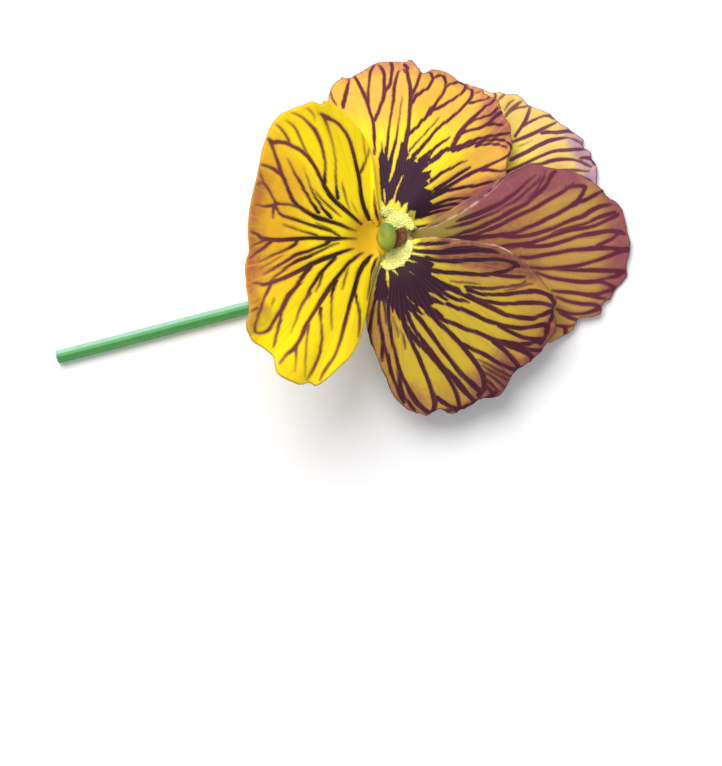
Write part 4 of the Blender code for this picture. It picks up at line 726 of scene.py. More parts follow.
# The pistil's route from its foot to the stigma, and its sizes
PISTIL_ROUTE = (
    (0.0, 0.0, 5.9), (0.02, 0.0, 6.8), (0.05, 0.0, 7.6), (0.0, 0.0, 8.4), (-0.15, 0.0, 9.1),
    (-0.25, 0.0, 9.9))
OVARY_RADIUS = 0.55
STIGMA_HALF_WIDTH = 1.55
STIGMA_HALF_DEPTH = 1.05
STIGMA_MIDDLE = 0.78
STIGMA_HALF_LENGTH = 0.22

# Directions between which a beard grows, and how far it is turned, in degrees
BEARD_SPANS = {"petal_side_upper": (-86.0, 84.0, 0.0), "petal_side_lower": (-80.0, 104.0, 14.0)}

# Shares of a hair's length at which it has a ring of points
HAIR_RINGS = (0.0, 0.5, 0.86, 0.95, 1.0)
HAIR_SIDES = 5

# The stem is five-sided and lies on a flat side
STEM_RADIUS = 0.82
STEM_REST = STEM_RADIUS * math.cos(math.radians(36.0))
STEM_ROUTE = (
    (-37.0, -12.95, STEM_REST), (-30.0, -11.15, STEM_REST), (-23.0, -9.3, STEM_REST),
    (-16.0, -7.5, STEM_REST + 0.006), (-12.0, -6.35, STEM_REST + 0.03), (-8.0, -4.95, 0.86),
    (-4.8, -3.45, 1.12), (-2.2, -1.95, 1.48), (-0.65, -0.85, 2.0), (-0.1, -0.2, 2.65), (0.0, 0.0, 3.3))
STEM_TURN = 17.0
BRACT_PLACE = (-8.6, -5.15, 0.95)
SPUR_ROUTE = ((-3.3, 0.0, 7.35), (-3.7, 0.03, 6.5), (-4.4, 0.15, 5.4), (-5.3, 0.4, 4.3), (-6.2, 0.7, 3.5))

# Floor and lamp, in metres and degrees
FLOOR_HALF = 1.2
KEY_SIZE = 0.45
KEY_PLACE = (-0.16, 0.30, 0.46)
KEY_TURN = (-33.0, -17.0, 0.0)


# Sizes and colours


def colour_property(name, description, code):
    """A colour that the user can change, given as sRGB hex."""
    return FloatVectorProperty(
        name=name, description=description, subtype="COLOR", size=3, min=0.0, max=1.0, default=linear(code))


def palette_group(name, codes):
    """The property group with one petal's seven colours."""
    words = (
        ("ground", "Ground", "Colour between the veins"),
        ("gold", "Gold", "Warm wash over the ground"),
        ("rose", "Rose", "Wash towards the margin"),
        ("lime", "Lime", "Tint of the petal's foot"),
        ("vein_inner", "Inner veins", "Colour of blotch and veins near the throat"),
        ("vein_outer", "Outer veins", "Colour of the veins near the margin"),
        ("rim", "Rim", "Thin line along the margin"),
    )
    fields = {key: colour_property(label, text, code) for (key, label, text), code in zip(words, codes)}
    return type("VIOLA_PG_" + name, (bpy.types.PropertyGroup,), {"__annotations__": fields})


PALETTE_GROUPS = {name: palette_group(name, codes) for name, codes in PALETTES.items()}


class VIOLA_PG_petals(bpy.types.PropertyGroup):
    """Sizes of the petal sheets."""

    thickness: FloatProperty(
        name="Thickness", description="Thickness of a petal", default=0.28 * MM, min=0.1 * MM, max=0.6 * MM,
        unit="LENGTH")
    columns: IntProperty(name="Columns", description="Points round a petal's margin", default=460, min=60)
    rows: IntProperty(name="Rows", description="Points from claw to margin", default=132, min=20)
    quilting: FloatProperty(
        name="Quilting", description="How far the ground stands up between the veins", default=0.05 * MM,
        min=0.0, max=0.2 * MM, unit="LENGTH")
    vein_width: FloatProperty(
        name="Vein width", description="Width of all veins against the traced one", default=1.0, min=0.2,
        max=2.0, subtype="FACTOR")


class VIOLA_PG_throat(bpy.types.PropertyGroup):
    """Sizes and colours of beards, stigma and anthers."""

    hair_length: FloatProperty(
        name="Hair length", description="Length of a beard's hairs", default=0.5 * MM, min=0.1 * MM,
        max=2.0 * MM, unit="LENGTH")
    hair_width: FloatProperty(
        name="Hair width", description="Thickness of a hair", default=0.1 * MM, min=0.02 * MM,
        max=0.3 * MM, unit="LENGTH")
    hair_count: IntProperty(name="Hairs", description="Hairs on each side petal", default=1800, min=10)
    hair_colour: colour_property("Hair colour", "Colour of the beards", "#faf8a8")
    stigma_colour: colour_property("Stigma", "Colour of the stigma", "#84902c")
    anther_colour: colour_property("Anthers", "Colour of the anthers' tips", "#6c4028")


class VIOLA_PG_green(bpy.types.PropertyGroup):
    """Colours of stem and sepals."""

    # The lit flank's paler colour is partly wax and partly painted light
    stem_upper: colour_property("Stem, lit flank", "Waxy side of the stem", "#92c0aa")
    stem_lower: colour_property("Stem, shaded flank", "Plain side of the stem", "#4c964e")
    sepal: colour_property("Sepals", "Colour of the sepals", "#5f8f3a")


class VIOLA_PG_stage(bpy.types.PropertyGroup):
    """Floor, light and camera."""

    floor_colour: colour_property("Floor", "Colour of the floor", "#f4f2f1")
    key_power: FloatProperty(
        name="Key light", description="Power of the large soft light", default=3.4, unit="POWER")
    sky_strength: FloatProperty(
        name="Sky", description="Strength of the light from all round", default=0.6, min=0.0)
    lens: FloatProperty(
        name="Lens", description="Focal length on a 36 mm wide sensor", default=115.6, min=10.0,
        subtype="DISTANCE_CAMERA")


# Curves and meshes


def curve_through(points, places):
    """The smooth curve through points a, b, c, d, ... at places from 0 to their count less one.

    Between b and c at share t: b + t/2·(c − a + (2a − 5b + 4c − d)t + (3b − a − 3c + d)t²).
    """
    points = np.asarray(points, float)
    last = len(points) - 1
    first = np.clip(np.floor(places).astype(int), 0, last - 1)
    t = (places - first)[..., None]
    a, b = points[np.maximum(first - 1, 0)], points[first]
    c, d = points[first + 1], points[np.minimum(first + 2, last)]
    return b + 0.5 * t * (c - a + (2 * a - 5 * b + 4 * c - d) * t + (3 * b - a - 3 * c + d) * t ** 2)


def unit(vectors):
    """Vectors divided by their lengths."""
    return vectors / np.maximum(np.linalg.norm(vectors, axis=-1, keepdims=True), 1e-12)


def ring_angles(sides):
    """Angles of the points round a ring."""
    return np.arange(sides) * 2.0 * math.pi / sides


def level_directions(degrees):
    """The level direction at so many degrees from +x, and the one to its left."""
    angle = math.radians(degrees)
    ahead = np.array([math.cos(angle), math.sin(angle), 0.0])
    return ahead, np.cross(UP, ahead)


def upright_route(out, reaches, heights):
    """Points at the given reaches along a level direction, and at the given heights."""
    return np.asarray(reaches)[:, None] * out + np.asarray(heights)[:, None] * UP


def turned(radius, height, angles):
    """Rings of points round the throat's axis: (radius·cos, radius·sin, height)."""
    return np.stack([radius * np.cos(angles), radius * np.sin(angles), height + 0.0 * radius], axis=-1)


def from_ends(count):
    """Steps from each of so many places to the nearer end of their row."""
    places = np.arange(count)
    return np.minimum(places, places[::-1])


def grid_quads(index, closed=False):
    """Quads between neighbouring rows and columns of a table of point numbers."""
    if closed:
        index = np.concatenate([index, index[:, :1]], axis=1)
    return np.stack([index[:-1, :-1], index[1:, :-1], index[1:, 1:], index[:-1, 1:]], axis=-1).reshape(-1, 4)


def make_piece(name, points, faces, material, slot, *nodes, **attributes):
    """A finished object from points in millimetres and its faces, with named numbers on its points."""
    mesh = bpy.data.meshes.new(name)
    mesh.from_pydata(((points + THROAT) * MM).tolist(), [], faces)
    for key, values in attributes.items():
        mesh.attributes.new(key, "FLOAT", "POINT").data.foreach_set("value", values.astype(np.float32))
    mesh.materials.append(material)
    mesh.shade_smooth()
    mesh.update()
    piece = bpy.data.objects.new(name, mesh)
    bpy.context.scene.collection.objects.link(piece)
    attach(piece, "root")
    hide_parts(*nodes)


def sweep(route, steps, sides, side_hint, half_sizes, section):
    """Rings of points along a smooth route, as an array (steps, sides, 3).

    At share p the ring is route(p) + side·width(p)·across + up·thickness(p)·above, where up is at
    right angles to the route and to the hint, and (across, above) run round the section.
    """
    parts = np.linspace(0.0, 1.0, steps)
    span = len(route) - 1
    centre = curve_through(route, parts * span)
    before = curve_through(route, np.maximum(parts - 0.01, 0.0) * span)
    after = curve_through(route, np.minimum(parts + 0.01, 1.0) * span)
    tangent = unit(after - before)
    up = unit(np.cross(tangent, np.asarray(side_hint, float)))
    side = np.cross(up, tangent)
    across, above = section(parts[:, None], ring_angles(sides)[None, :])
    width, thickness = half_sizes(parts)
    return (centre[:, None] + side[:, None] * (across * width[:, None])[..., None]
            + up[:, None] * (above * thickness[:, None])[..., None])


def round_section(parts, angles):
    """A circle: (cos a, sin a)."""
    return np.cos(angles) + 0.0 * parts, np.sin(angles) + 0.0 * parts


def tube_faces(steps, sides):
    """Faces of a swept body, with both ends closed by one face."""
    index = np.arange(steps * sides).reshape(steps, sides)
    faces = grid_quads(index, closed=True).tolist()
    faces.append(index[0].tolist())
    faces.append(index[-1][::-1].tolist())
    return faces


def outward(points, faces):
    """The faces, turned over where the body they close has a negative volume."""
    total = 0.0
    for face in faces:
        corner = points[list(face)]
        total += np.einsum("ij,ij->", np.cross(corner[1:-1] - corner[0], corner[2:] - corner[0]),
                           np.broadcast_to(corner[0], corner[2:].shape))
    return faces if total > 0.0 else [face[::-1] for face in faces]


def join_bodies(bodies):
    """Several bodies as one list of points and faces."""
    points, faces, start = [], [], 0
    for body_points, body_faces in bodies:
        points.append(body_points)
        faces += [[start + k for k in face] for face in body_faces]
        start += len(body_points)
    return np.concatenate(points), faces


# Materials


def add_node(tree, kind, settings=None, links=None):
    """A node with its settings, and links given as {input: (node, output)}."""
    node = tree.nodes.new(kind)
    for key, value in (settings or {}).items():
        if isinstance(key, int) or key in node.inputs:
            node.inputs[key].default_value = value
        else:
            setattr(node, key, value)
    for key, (other, output) in (links or {}).items():
        tree.links.new(other.outputs[output], node.inputs[key])
    return node


def new_material(name, roughness, specular=0.3, sheen=0.0, sheen_tint="#ffffff"):
    """A material with one Principled shader, returned with its tree and shader."""
    material = bpy.data.materials.new(name)
    material.use_nodes = True
    tree = material.node_tree
    shader = tree.nodes["Principled BSDF"]
    for key, value in (("Roughness", roughness), ("Specular IOR Level", specular), ("Sheen Weight", sheen),
                       ("Sheen Roughness", 0.4), ("Sheen Tint", (*linear(sheen_tint), 1.0))):
        shader.inputs[key].default_value = value
    return material, tree, shader


def mix_colours(tree, share, first, second):
    """The node that goes from the first colour to the second by a share.

    A colour or share is a node with its output, or a plain value.
    """
    settings, links = {"data_type": "RGBA"}, {}
    for key, value in ((0, share), (6, first), (7, second)):
        if isinstance(value, tuple) and isinstance(value[0], bpy.types.Node):
            links[key] = value
        else:
            settings[key] = value if key == 0 else (*value, 1.0)
    return add_node(tree, "ShaderNodeMix", settings, links), 2


def ramp(tree, source, low, high, first=0.0, second=1.0, kind="SMOOTHSTEP"):
    """A node that turns low..high of a number into first..second."""
    node = add_node(
        tree, "ShaderNodeMapRange", {"interpolation_type": kind, "From Min": low, "From Max": high,
                                     "To Min": first, "To Max": second}, {"Value": source})
    return node, 0


def attribute(tree, name):
    """A number stored on the piece's points."""
    return add_node(tree, "ShaderNodeAttribute", {"attribute_name": name}), "Fac"


def noise(tree, size, detail=2.0, roughness=0.5):
    """Cloudy noise on Object coordinates with patches of the given size in millimetres."""
    place = add_node(tree, "ShaderNodeTexCoord")
    return add_node(
        tree, "ShaderNodeTexNoise", {"Scale": 1.0 / (size * MM), "Detail": detail, "Roughness": roughness},
        {"Vector": (place, "Object")}), "Fac"


def sum_of(tree, first, second, share):
    """first + second·share of two numbers."""
    node = add_node(tree, "ShaderNodeMath", {"operation": "MULTIPLY_ADD", 1: share}, {0: second, 2: first})
    return node, 0


def product(tree, first, second):
    """Two numbers multiplied."""
    return add_node(tree, "ShaderNodeMath", {"operation": "MULTIPLY"}, {0: first, 1: second}), 0


def object_axis(tree, axis):
    """The Object coordinate along one axis: 0 is x, 1 is y and 2 is z."""
    place = add_node(tree, "ShaderNodeTexCoord")
    return add_node(tree, "ShaderNodeSeparateXYZ", {}, {0: (place, "Object")}), axis


def paint(tree, shader, colour):
    """Joins a colour to the shader."""
    node, output = colour
    tree.links.new(node.outputs[output], shader.inputs["Base Color"])


def petal_material(petal, colours):
    """Viola petal, grown as a thin sheet whose skin is a lawn of tiny cones.

    The cones make it velvety: matt, deep in colour, with a faint glow at grazing angles. The ground
    is washed with gold and rose, and dark veins with soft edges lie over it.
    """
    material, tree, shader = new_material("viola_" + petal.name, 0.68, specular=0.16, sheen=0.06,
                                          sheen_tint="#e9c8e0")
    border, outside, inside = EDGES[petal.name]
    fleck = noise(tree, 0.9, 4.0, 0.65)
    colour = tuple(colours.ground)
    for tint in ("gold", "rose", "lime"):
        share = sum_of(tree, attribute(tree, tint), ramp(tree, fleck, 0.3, 0.7, -0.5, 0.5, "LINEAR"), 0.35)
        present = add_node(tree, "ShaderNodeMath", {"operation": "MULTIPLY", "use_clamp": True},
                           {0: share, 1: ramp(tree, attribute(tree, tint), 0.0, 0.35)})
        colour = mix_colours(tree, (present, 0), colour, tuple(getattr(colours, tint)))
    ray = attribute(tree, "ray")
    colour = mix_colours(tree, ramp(tree, ray, 0.05, 0.5, 0.0, 0.35), colour, tuple(colours.gold))
    ragged = ramp(tree, noise(tree, 0.3, 3.0), 0.25, 0.75, -1.0, 1.0, "LINEAR")
    mark = sum_of(tree, sum_of(tree, attribute(tree, "mark"), ragged, 0.03), ray, 0.10)
    vein = mix_colours(tree, attribute(tree, "outer"), tuple(colours.vein_inner), tuple(colours.vein_outer))
    vein = mix_colours(tree, ramp(tree, ray, 0.0, 0.45, 0.0, 0.35), vein, linear("#6a2c40"))
    ink = attribute(tree, "ink")
    halo = mix_colours(tree, 0.45, colour, tuple(colours.vein_outer))
    halo = mix_colours(tree, 0.25, halo, tuple(colours.gold))
    colour = mix_colours(tree, product(tree, ramp(tree, mark, border, 0.0, 0.0, 0.85), ink), colour, halo)
    line = product(tree, ramp(tree, mark, outside, inside, 0.0, 0.98), ink)
    colour = mix_colours(tree, line, colour, vein)
    rim = ramp(tree, attribute(tree, "margin"), 0.17, 0.03, 0.0, 0.8)
    colour = mix_colours(tree, rim, colour, tuple(colours.rim))
    # Painted highlight: a pale pink line where a curled rim catches the light, carried by the 'pale' field
    rim_highlight = product(tree, attribute(tree, "pale"), ramp(tree, noise(tree, 1.1), 0.35, 0.6))
    colour = mix_colours(tree, rim_highlight, colour, linear("#d8a59c"))
    paint(tree, shader, colour)
    # The cones are about 0.03 mm across; they are drawn 0.09 mm wide to show at all
    cones = noise(tree, 0.09, 1.0)
    bump = add_node(tree, "ShaderNodeBump", {"Strength": 0.35, "Distance": 0.03 * MM}, {"Height": cones})
    tree.links.new(bump.outputs[0], shader.inputs["Normal"])
    return material


# Petals


def petal_places(petal, degrees, reach):
    """Plane coordinates: the claw plus reach·(cos, sin) of the axis plus the degrees."""
    axis = math.radians(petal.axis)
    direction = axis + np.radians(degrees)
    return (petal.claw_distance * math.cos(axis) + reach * np.cos(direction),
            petal.claw_distance * math.sin(axis) + reach * np.sin(direction))


def petal_polar(petal, x, y):
    """Degrees from a petal's axis, and reach from its claw, of plane coordinates."""
    claw_x, claw_y = petal_places(petal, 0.0, 0.0)
    direction = np.degrees(np.arctan2(y - claw_y, x - claw_x)) - petal.axis
    return (direction + 180.0) % 360.0 - 180.0, np.hypot(x - claw_x, y - claw_y)


def picture_places(petal, across, down):
    """Plane x and y of the picture's pixels on a petal, and the size of a pixel there.

    At height z a pixel is 0.11·(260 − z)/(260 − 5) wide. The place gives the petal's height and the
    height moves the place, so both are worked out in turn until they agree.
    """
    height = np.full(across.shape, CLAW_HEIGHT)
    for _ in range(PICTURE_ROUNDS):
        pixel = PIXEL * (CAMERA_PLACE[2] - height) / (CAMERA_PLACE[2] - PIXEL_HEIGHT)
        x = (across - PICTURE_MIDDLE[0]) * pixel + CAMERA_PLACE[0] - THROAT[0]
        y = (PICTURE_MIDDLE[1] - down) * pixel + CAMERA_PLACE[1]
        degrees, reach = petal_polar(petal, x, y)
        height = petal.height(x, y, reach, degrees)
    return x, y, pixel


def petal_outline(petal):
    """The whole margin as (degrees, reach): the seen stretch is placed on the petal from its crop."""
    start, crop, seen, end = petal.margin
    across, down = np.array(seen, float).T / crop.zoom
    x, y, _ = picture_places(petal, crop.left + across, crop.top + down)
    return np.concatenate([start, np.stack(petal_polar(petal, x, y), axis=-1), end])


def margin_at(petal, shares):
    """Direction and reach of a petal's margin at shares of its outline.

    The smooth outline's reach is multiplied by 1 + size·sin(2π·count·share + phase) for each wave, and
    carries small seeded teeth, 1 − |sin(π·count·share + start)|^0.6, that swell and shrink along the
    margin and fade out where its reach falls from 12 to 5.
    """
    outline = petal_outline(petal)
    line = curve_through(outline, shares * (len(outline) - 1))
    reach = line[:, 1].copy()
    for wave in petal.waves:
        reach *= 1.0 + wave.size * np.sin(2.0 * math.pi * wave.count * shares + wave.phase)
    draw = np.random.default_rng(petal.seed)
    nicks = np.zeros_like(shares)
    for count in (31, 47, 73):
        tooth = 1.0 - np.abs(np.sin(math.pi * count * shares + draw.uniform(0.0, 6.0))) ** 0.6
        swell = 0.5 + 0.5 * np.sin(2.0 * math.pi * (count / 9.0) * shares + draw.uniform(0.0, 6.0))
        nicks += 0.16 * 31 / count * tooth * swell
    return line[:, 0], reach + petal.nicks * smoothstep(5.0, 12.0, reach) * (nicks - 0.06)


def even_shares(petal, columns):
    """Shares of the outline that lie at equal steps along the margin."""
    fine = np.linspace(0.0, 1.0, 3000)
    x, y = petal_places(petal, *margin_at(petal, fine))
    length = np.concatenate([[0.0], np.cumsum(np.hypot(np.diff(x), np.diff(y)))])
    return np.interp(np.linspace(0.0, length[-1], columns), length, fine)


def petal_surface(petal, shares, alongs):
    """Points of a petal's middle surface, and their directions and reaches.

    Row v and column u lie at reach r0 + (margin(u) − r0)·v, at the petal's height plus a ruffle
    size·v³·sin(2π·count·u + phase).
    """
    degrees, radius = margin_at(petal, shares)
    reach = CLAW_RADIUS + (radius - CLAW_RADIUS) * alongs[:, None]
    degrees = np.broadcast_to(degrees, reach.shape)
    x, y = petal_places(petal, degrees, reach)
    ruffle = petal.ruffle
    wave = ruffle.size * np.sin(2.0 * math.pi * ruffle.count * shares + ruffle.phase)
    lift = alongs[:, None] ** 3 * wave * smoothstep(*RUFFLE_FADE, radius)
    return np.stack([x, y, petal.height(x, y, reach, degrees) + lift], axis=-1), degrees, reach


def distance_to_routes(x, y, routes, scale=1.0, far=0.9, fine=4):
    """Distance from each point to the edge of the nearest route, at most far, and the route's width there.

    Each route is smoothed into fine steps per part; the distance to a step is √(dx² + dy²) − width/2.
    """
    best, width = np.full(x.shape, far), np.zeros(x.shape)
    for line in routes:
        if fine > 1 and len(line) > 2:
            line = curve_through(line, np.linspace(0.0, len(line) - 1, fine * (len(line) - 1) + 1))
        a, b = line[:-1], line[1:]
        near = np.flatnonzero(
            (x > line[:, 0].min() - far) & (x < line[:, 0].max() + far)
            & (y > line[:, 1].min() - far) & (y < line[:, 1].max() + far))
        span = b[:, :2] - a[:, :2]
        square = np.maximum((span ** 2).sum(1), 1e-9)
        for part in np.array_split(near, max(len(near) * len(a) // BATCH, 1)):
            if not len(part):
                continue
            dx, dy = x[part, None] - a[:, 0], y[part, None] - a[:, 1]
            t = np.clip((dx * span[:, 0] + dy * span[:, 1]) / square, 0.0, 1.0)
            wide = (a[:, 2] + (b[:, 2] - a[:, 2]) * t) * scale
            gap = np.hypot(dx - t * span[:, 0], dy - t * span[:, 1]) - wide / 2.0
            pick = (np.arange(len(part)), gap.argmin(axis=1))
            better = gap[pick] < best[part]
            best[part] = np.where(better, gap[pick], best[part])
            width[part] = np.where(better, wide[pick], width[part])
    return best, width


def plane_routes(petal, routes):
    """Routes given as (across, down, width) in pixels, turned into plane x, y and width."""
    result = []
    for route in routes:
        across, down, width = np.array(route, float).T
        x, y, pixel = picture_places(petal, across, down)
        result.append(np.stack([x, y, width * pixel], axis=-1))
    return result


def growth_streaks(petal, degrees, reach):
    """Fine streaks along the growth.

    They are the mean of seven seeded waves, sin(count·direction + start + 0.7·sin(rate·reach + start)).
    """
    draw = np.random.default_rng(petal.seed + 4)
    total = 0.0 * reach
    for count in draw.uniform(40.0, 170.0, 7):
        starts = draw.uniform(0.0, 6.0, 2)
        total = total + np.sin(count * np.radians(degrees) + starts[0]
                               + 0.7 * np.sin(draw.uniform(0.3, 0.9) * reach + starts[1]))
    return total / 7.0


def blotch_distance(petal, x, y):
    """Signed distance to the blotch's outline, below 0 inside it.

    A point is inside where a ray along +x from it crosses the outline an odd number of times.
    """
    across, down = np.array(BLOTCHES[petal.name], float).T
    corners = np.stack(picture_places(petal, across, down)[:2] + (0.0 * across,), axis=-1)
    outline = np.concatenate([corners, corners[:1]])
    distance = distance_to_routes(x, y, [outline], fine=1)[0]
    inside = np.zeros(x.shape, bool)
    for (x0, y0, _), (x1, y1, _) in zip(outline[:-1], outline[1:]):
        if y0 != y1:
            inside ^= ((y0 > y) != (y1 > y)) & (x < x0 + (y - y0) * (x1 - x0) / (y1 - y0))
    return np.where(inside, -distance, distance)


def petal_weights(petal, degrees, reach):
    """Share of each wash: strength·window(direction)·step(reach), combined as 1 − Π(1 − share)."""
    left = {"gold": 1.0, "rose": 1.0, "lime": 1.0}
    for wash in WASHES[petal.name]:
        window = 1.0 - smoothstep(0.55, 1.0, np.abs(degrees - wash.degrees) / wash.spread)
        step = smoothstep(min(wash.near, wash.far), max(wash.near, wash.far), reach)
        step = step if wash.far > wash.near else 1.0 - step
        left[wash.tint] = left[wash.tint] * (1.0 - wash.strength * window * step)
    return {tint: np.broadcast_to(1.0 - share, degrees.shape) for tint, share in left.items()}


def sheet_faces(rows, columns, back_rows):
    """Faces of a closed sheet: a fine front grid and a coarse back that share their whole border.

    Back faces beside the two side borders take in every front point there, so no gap opens.
    """
    front = np.arange(rows * columns).reshape(rows, columns)
    back = front[back_rows].copy()
    inner = back[1:-1, 1:-1]
    back[1:-1, 1:-1] = rows * columns + np.arange(inner.size).reshape(inner.shape)
    faces = grid_quads(front).tolist()
    faces += grid_quads(back[:, 1:-1])[:, ::-1].tolist()
    for k, (low, high) in enumerate(zip(back_rows[:-1], back_rows[1:])):
        faces.append([*front[low:high + 1, 0], back[k + 1, 1], back[k, 1]][::-1])
        faces.append([*front[low:high + 1, -1][::-1], back[k, -2], back[k + 1, -2]][::-1])
    return [[int(k) for k in face] for face in faces]


def closed_sheet(middle, half, lift, back_rows):
    """Front points at middle + normal·(half + lift), back ones at middle − normal·half, and the faces."""
    rows, columns = half.shape
    normal = unit(np.cross(np.gradient(middle, axis=0), np.gradient(middle, axis=1)))
    front = middle + normal * (half + lift)[..., None]
    back = (middle - normal * half[..., None])[back_rows][1:-1, 1:-1]
    points = np.concatenate([front.reshape(-1, 3), back.reshape(-1, 3)])
    return points, sheet_faces(rows, columns, back_rows)


def on_sheet(values, shape, back_rows):
    """A grid of numbers for the front points, followed by those of the back points."""
    values = np.broadcast_to(values, shape)
    return np.concatenate([values.ravel(), values[back_rows][1:-1, 1:-1].ravel()])


def rounded_half(sizes, inset):
    """Half a sheet's thickness, which rounds to 0 at its border: half·√(1 − (1 − inset)²)."""
    return sizes.thickness / MM / 2.0 * np.sqrt(1.0 - (1.0 - inset) ** 2)


def make_petal(petal, sizes, colours):
    """One petal as a closed sheet: its middle surface ± normal·half, and the ground raised between veins."""
    alongs = np.linspace(0.0, 1.0, sizes.rows)
    middle, degrees, reach = petal_surface(petal, even_shares(petal, sizes.columns), alongs)
    x, y = middle[..., 0].ravel(), middle[..., 1].ravel()

    edge_x, edge_y = petal_places(petal, *margin_at(petal, even_shares(petal, 360)))
    edge = np.stack([edge_x, edge_y, 0.0 * edge_x], axis=-1)
    margin = distance_to_routes(x, y, [edge], far=1.5, fine=1)[0]
    mark, width = distance_to_routes(x, y, plane_routes(petal, VEINS[petal.name]), sizes.vein_width)
    ink = smoothstep(-0.08, 0.30, width)
    if petal.name in BLOTCHES:
        blotch = blotch_distance(petal, x, y)
        light = distance_to_routes(x, y, plane_routes(petal, BLOTCH_LIGHTS[petal.name]))[0]
        ink = np.where(blotch < mark, 1.0, ink)
        mark = np.maximum(np.minimum(mark, blotch), -light)
    margin, mark, ink = (values.reshape(reach.shape) for values in (margin, mark, ink))

    border = from_ends(sizes.columns)[None, :] / 5.0
    start = np.arange(sizes.rows)[:, None] / 4.0
    inset = np.clip(np.minimum(np.minimum(border, start), margin / 0.25), 0.0, 1.0)
    raised = 1.0 - np.exp(-np.maximum(mark, 0.0) / 0.3)
    quilt = sizes.quilting / MM * raised * inset * smoothstep(2.0, 4.0, reach)
    last = [sizes.rows - 3, sizes.rows - 1]
    back_rows = np.unique(np.concatenate([np.arange(0, sizes.rows - 4, 9), last]))
    points, faces = closed_sheet(middle, rounded_half(sizes, inset), quilt, back_rows)
    fields = {
        "mark": mark, "ink": ink, "margin": margin, "outer": smoothstep(5.5, 13.0, reach),
        # The 'pale' field is the painted highlight along curled rims
        "ray": growth_streaks(petal, degrees, reach), "pale": painted_rim_highlight(petal, degrees, reach, margin),
        **petal_weights(petal, degrees, reach)}
    make_piece("viola_" + petal.name, points, faces, petal_material(petal, colours), petal.name, petal.name,
               **{key: on_sheet(values, reach.shape, back_rows) for key, values in fields.items()})
    for name in (petal.name, petal.name + "_floor"):
        if name in FEET:
            make_foot(name, petal, sizes)


def make_foot(name, petal, sizes):
    """The lobe into which a petal's claw spreads on the receptacle, round the throat.

    Row v lies at radius r = r0 + (outline − r0)·v, and at the lobe's height plus bowl·(r − r0)².
    """
    rows, columns = 30, 120
    height, bowl, code, pale, outline = FEET[name]
    line = curve_through(outline, np.linspace(0.0, len(outline) - 1, columns))
    radius = FOOT_RADIUS + (line[:, 1] - FOOT_RADIUS) * np.linspace(0.0, 1.0, rows)[:, None]
    middle = turned(radius, height + bowl * (radius - FOOT_RADIUS) ** 2, np.radians(line[:, 0]))
    inset = np.clip(np.minimum(from_ends(columns) / 5.0, from_ends(rows)[:, None] / 3.0), 0.0, 1.0)
    back_rows = np.unique(np.concatenate([np.arange(0, rows - 3, 6), [rows - 1]]))
    points, faces = closed_sheet(middle, rounded_half(sizes, inset), 0.0 * radius, back_rows)
    # Claw: the petal's narrow foot, thin and pale, without velvet
    short = name.removeprefix("petal")
    material, tree, shader = new_material("viola_claw" + short, 0.6, specular=0.2)
    share = ramp(tree, noise(tree, 0.8), 0.3, 0.7, 0.0, 0.3)
    paint(tree, shader, mix_colours(tree, share, linear(code), linear(pale)))
    make_piece("viola_foot" + short, points, faces, material, petal.name, petal.name)


def painted_rim_highlight(petal, degrees, reach, margin):
    """Painted highlight where a thin curled rim catches the light: near the margin, on one side of two
    petals.
    """
    if petal.name not in HIGHLIGHT_RIMS:
        return 0.0 * reach
    centre, spread, limit = HIGHLIGHT_RIMS[petal.name]
    window = 1.0 - smoothstep(0.6, 1.0, np.abs(degrees - centre) / spread)
    fade = 1.0 - smoothstep(limit - 3.0, limit, reach)
    return 0.9 * window * (1.0 - smoothstep(0.06, 0.22, margin)) * fade


def make_spur(colours):
    """The nectar pouch: a tube that widens from the petal and closes in a round tip."""
    steps, sides = 40, 32

    def half_sizes(parts):
        """Radius: (0.3 + 0.7·√step)·√(1 − u²), where u runs from 0 to 1 over the last 0.3 of the route."""
        neck = 0.3 + 0.7 * np.sqrt(smoothstep(0.0, 0.45, parts))
        end = np.sqrt(np.maximum(1.0 - np.maximum((parts - 0.7) / 0.3, 0.0) ** 2, 0.0016))
        return neck * end, neck * end

    points = sweep(SPUR_ROUTE, steps, sides, (0.0, 1.0, 0.0), half_sizes, round_section).reshape(-1, 3)
    # Spur skin: thin and smooth, violet with a greenish foot
    material, tree, shader = new_material("viola_spur_skin", 0.5, specular=0.3)
    share = ramp(tree, noise(tree, 1.6, 3.0), 0.35, 0.7)
    paint(tree, shader, mix_colours(tree, share, tuple(colours.rose), linear("#6d4a6a")))
    faces = outward(points, tube_faces(steps, sides))
    make_piece("viola_spur", points, faces, material, "petal_lower", "petal_lower")


# Throat


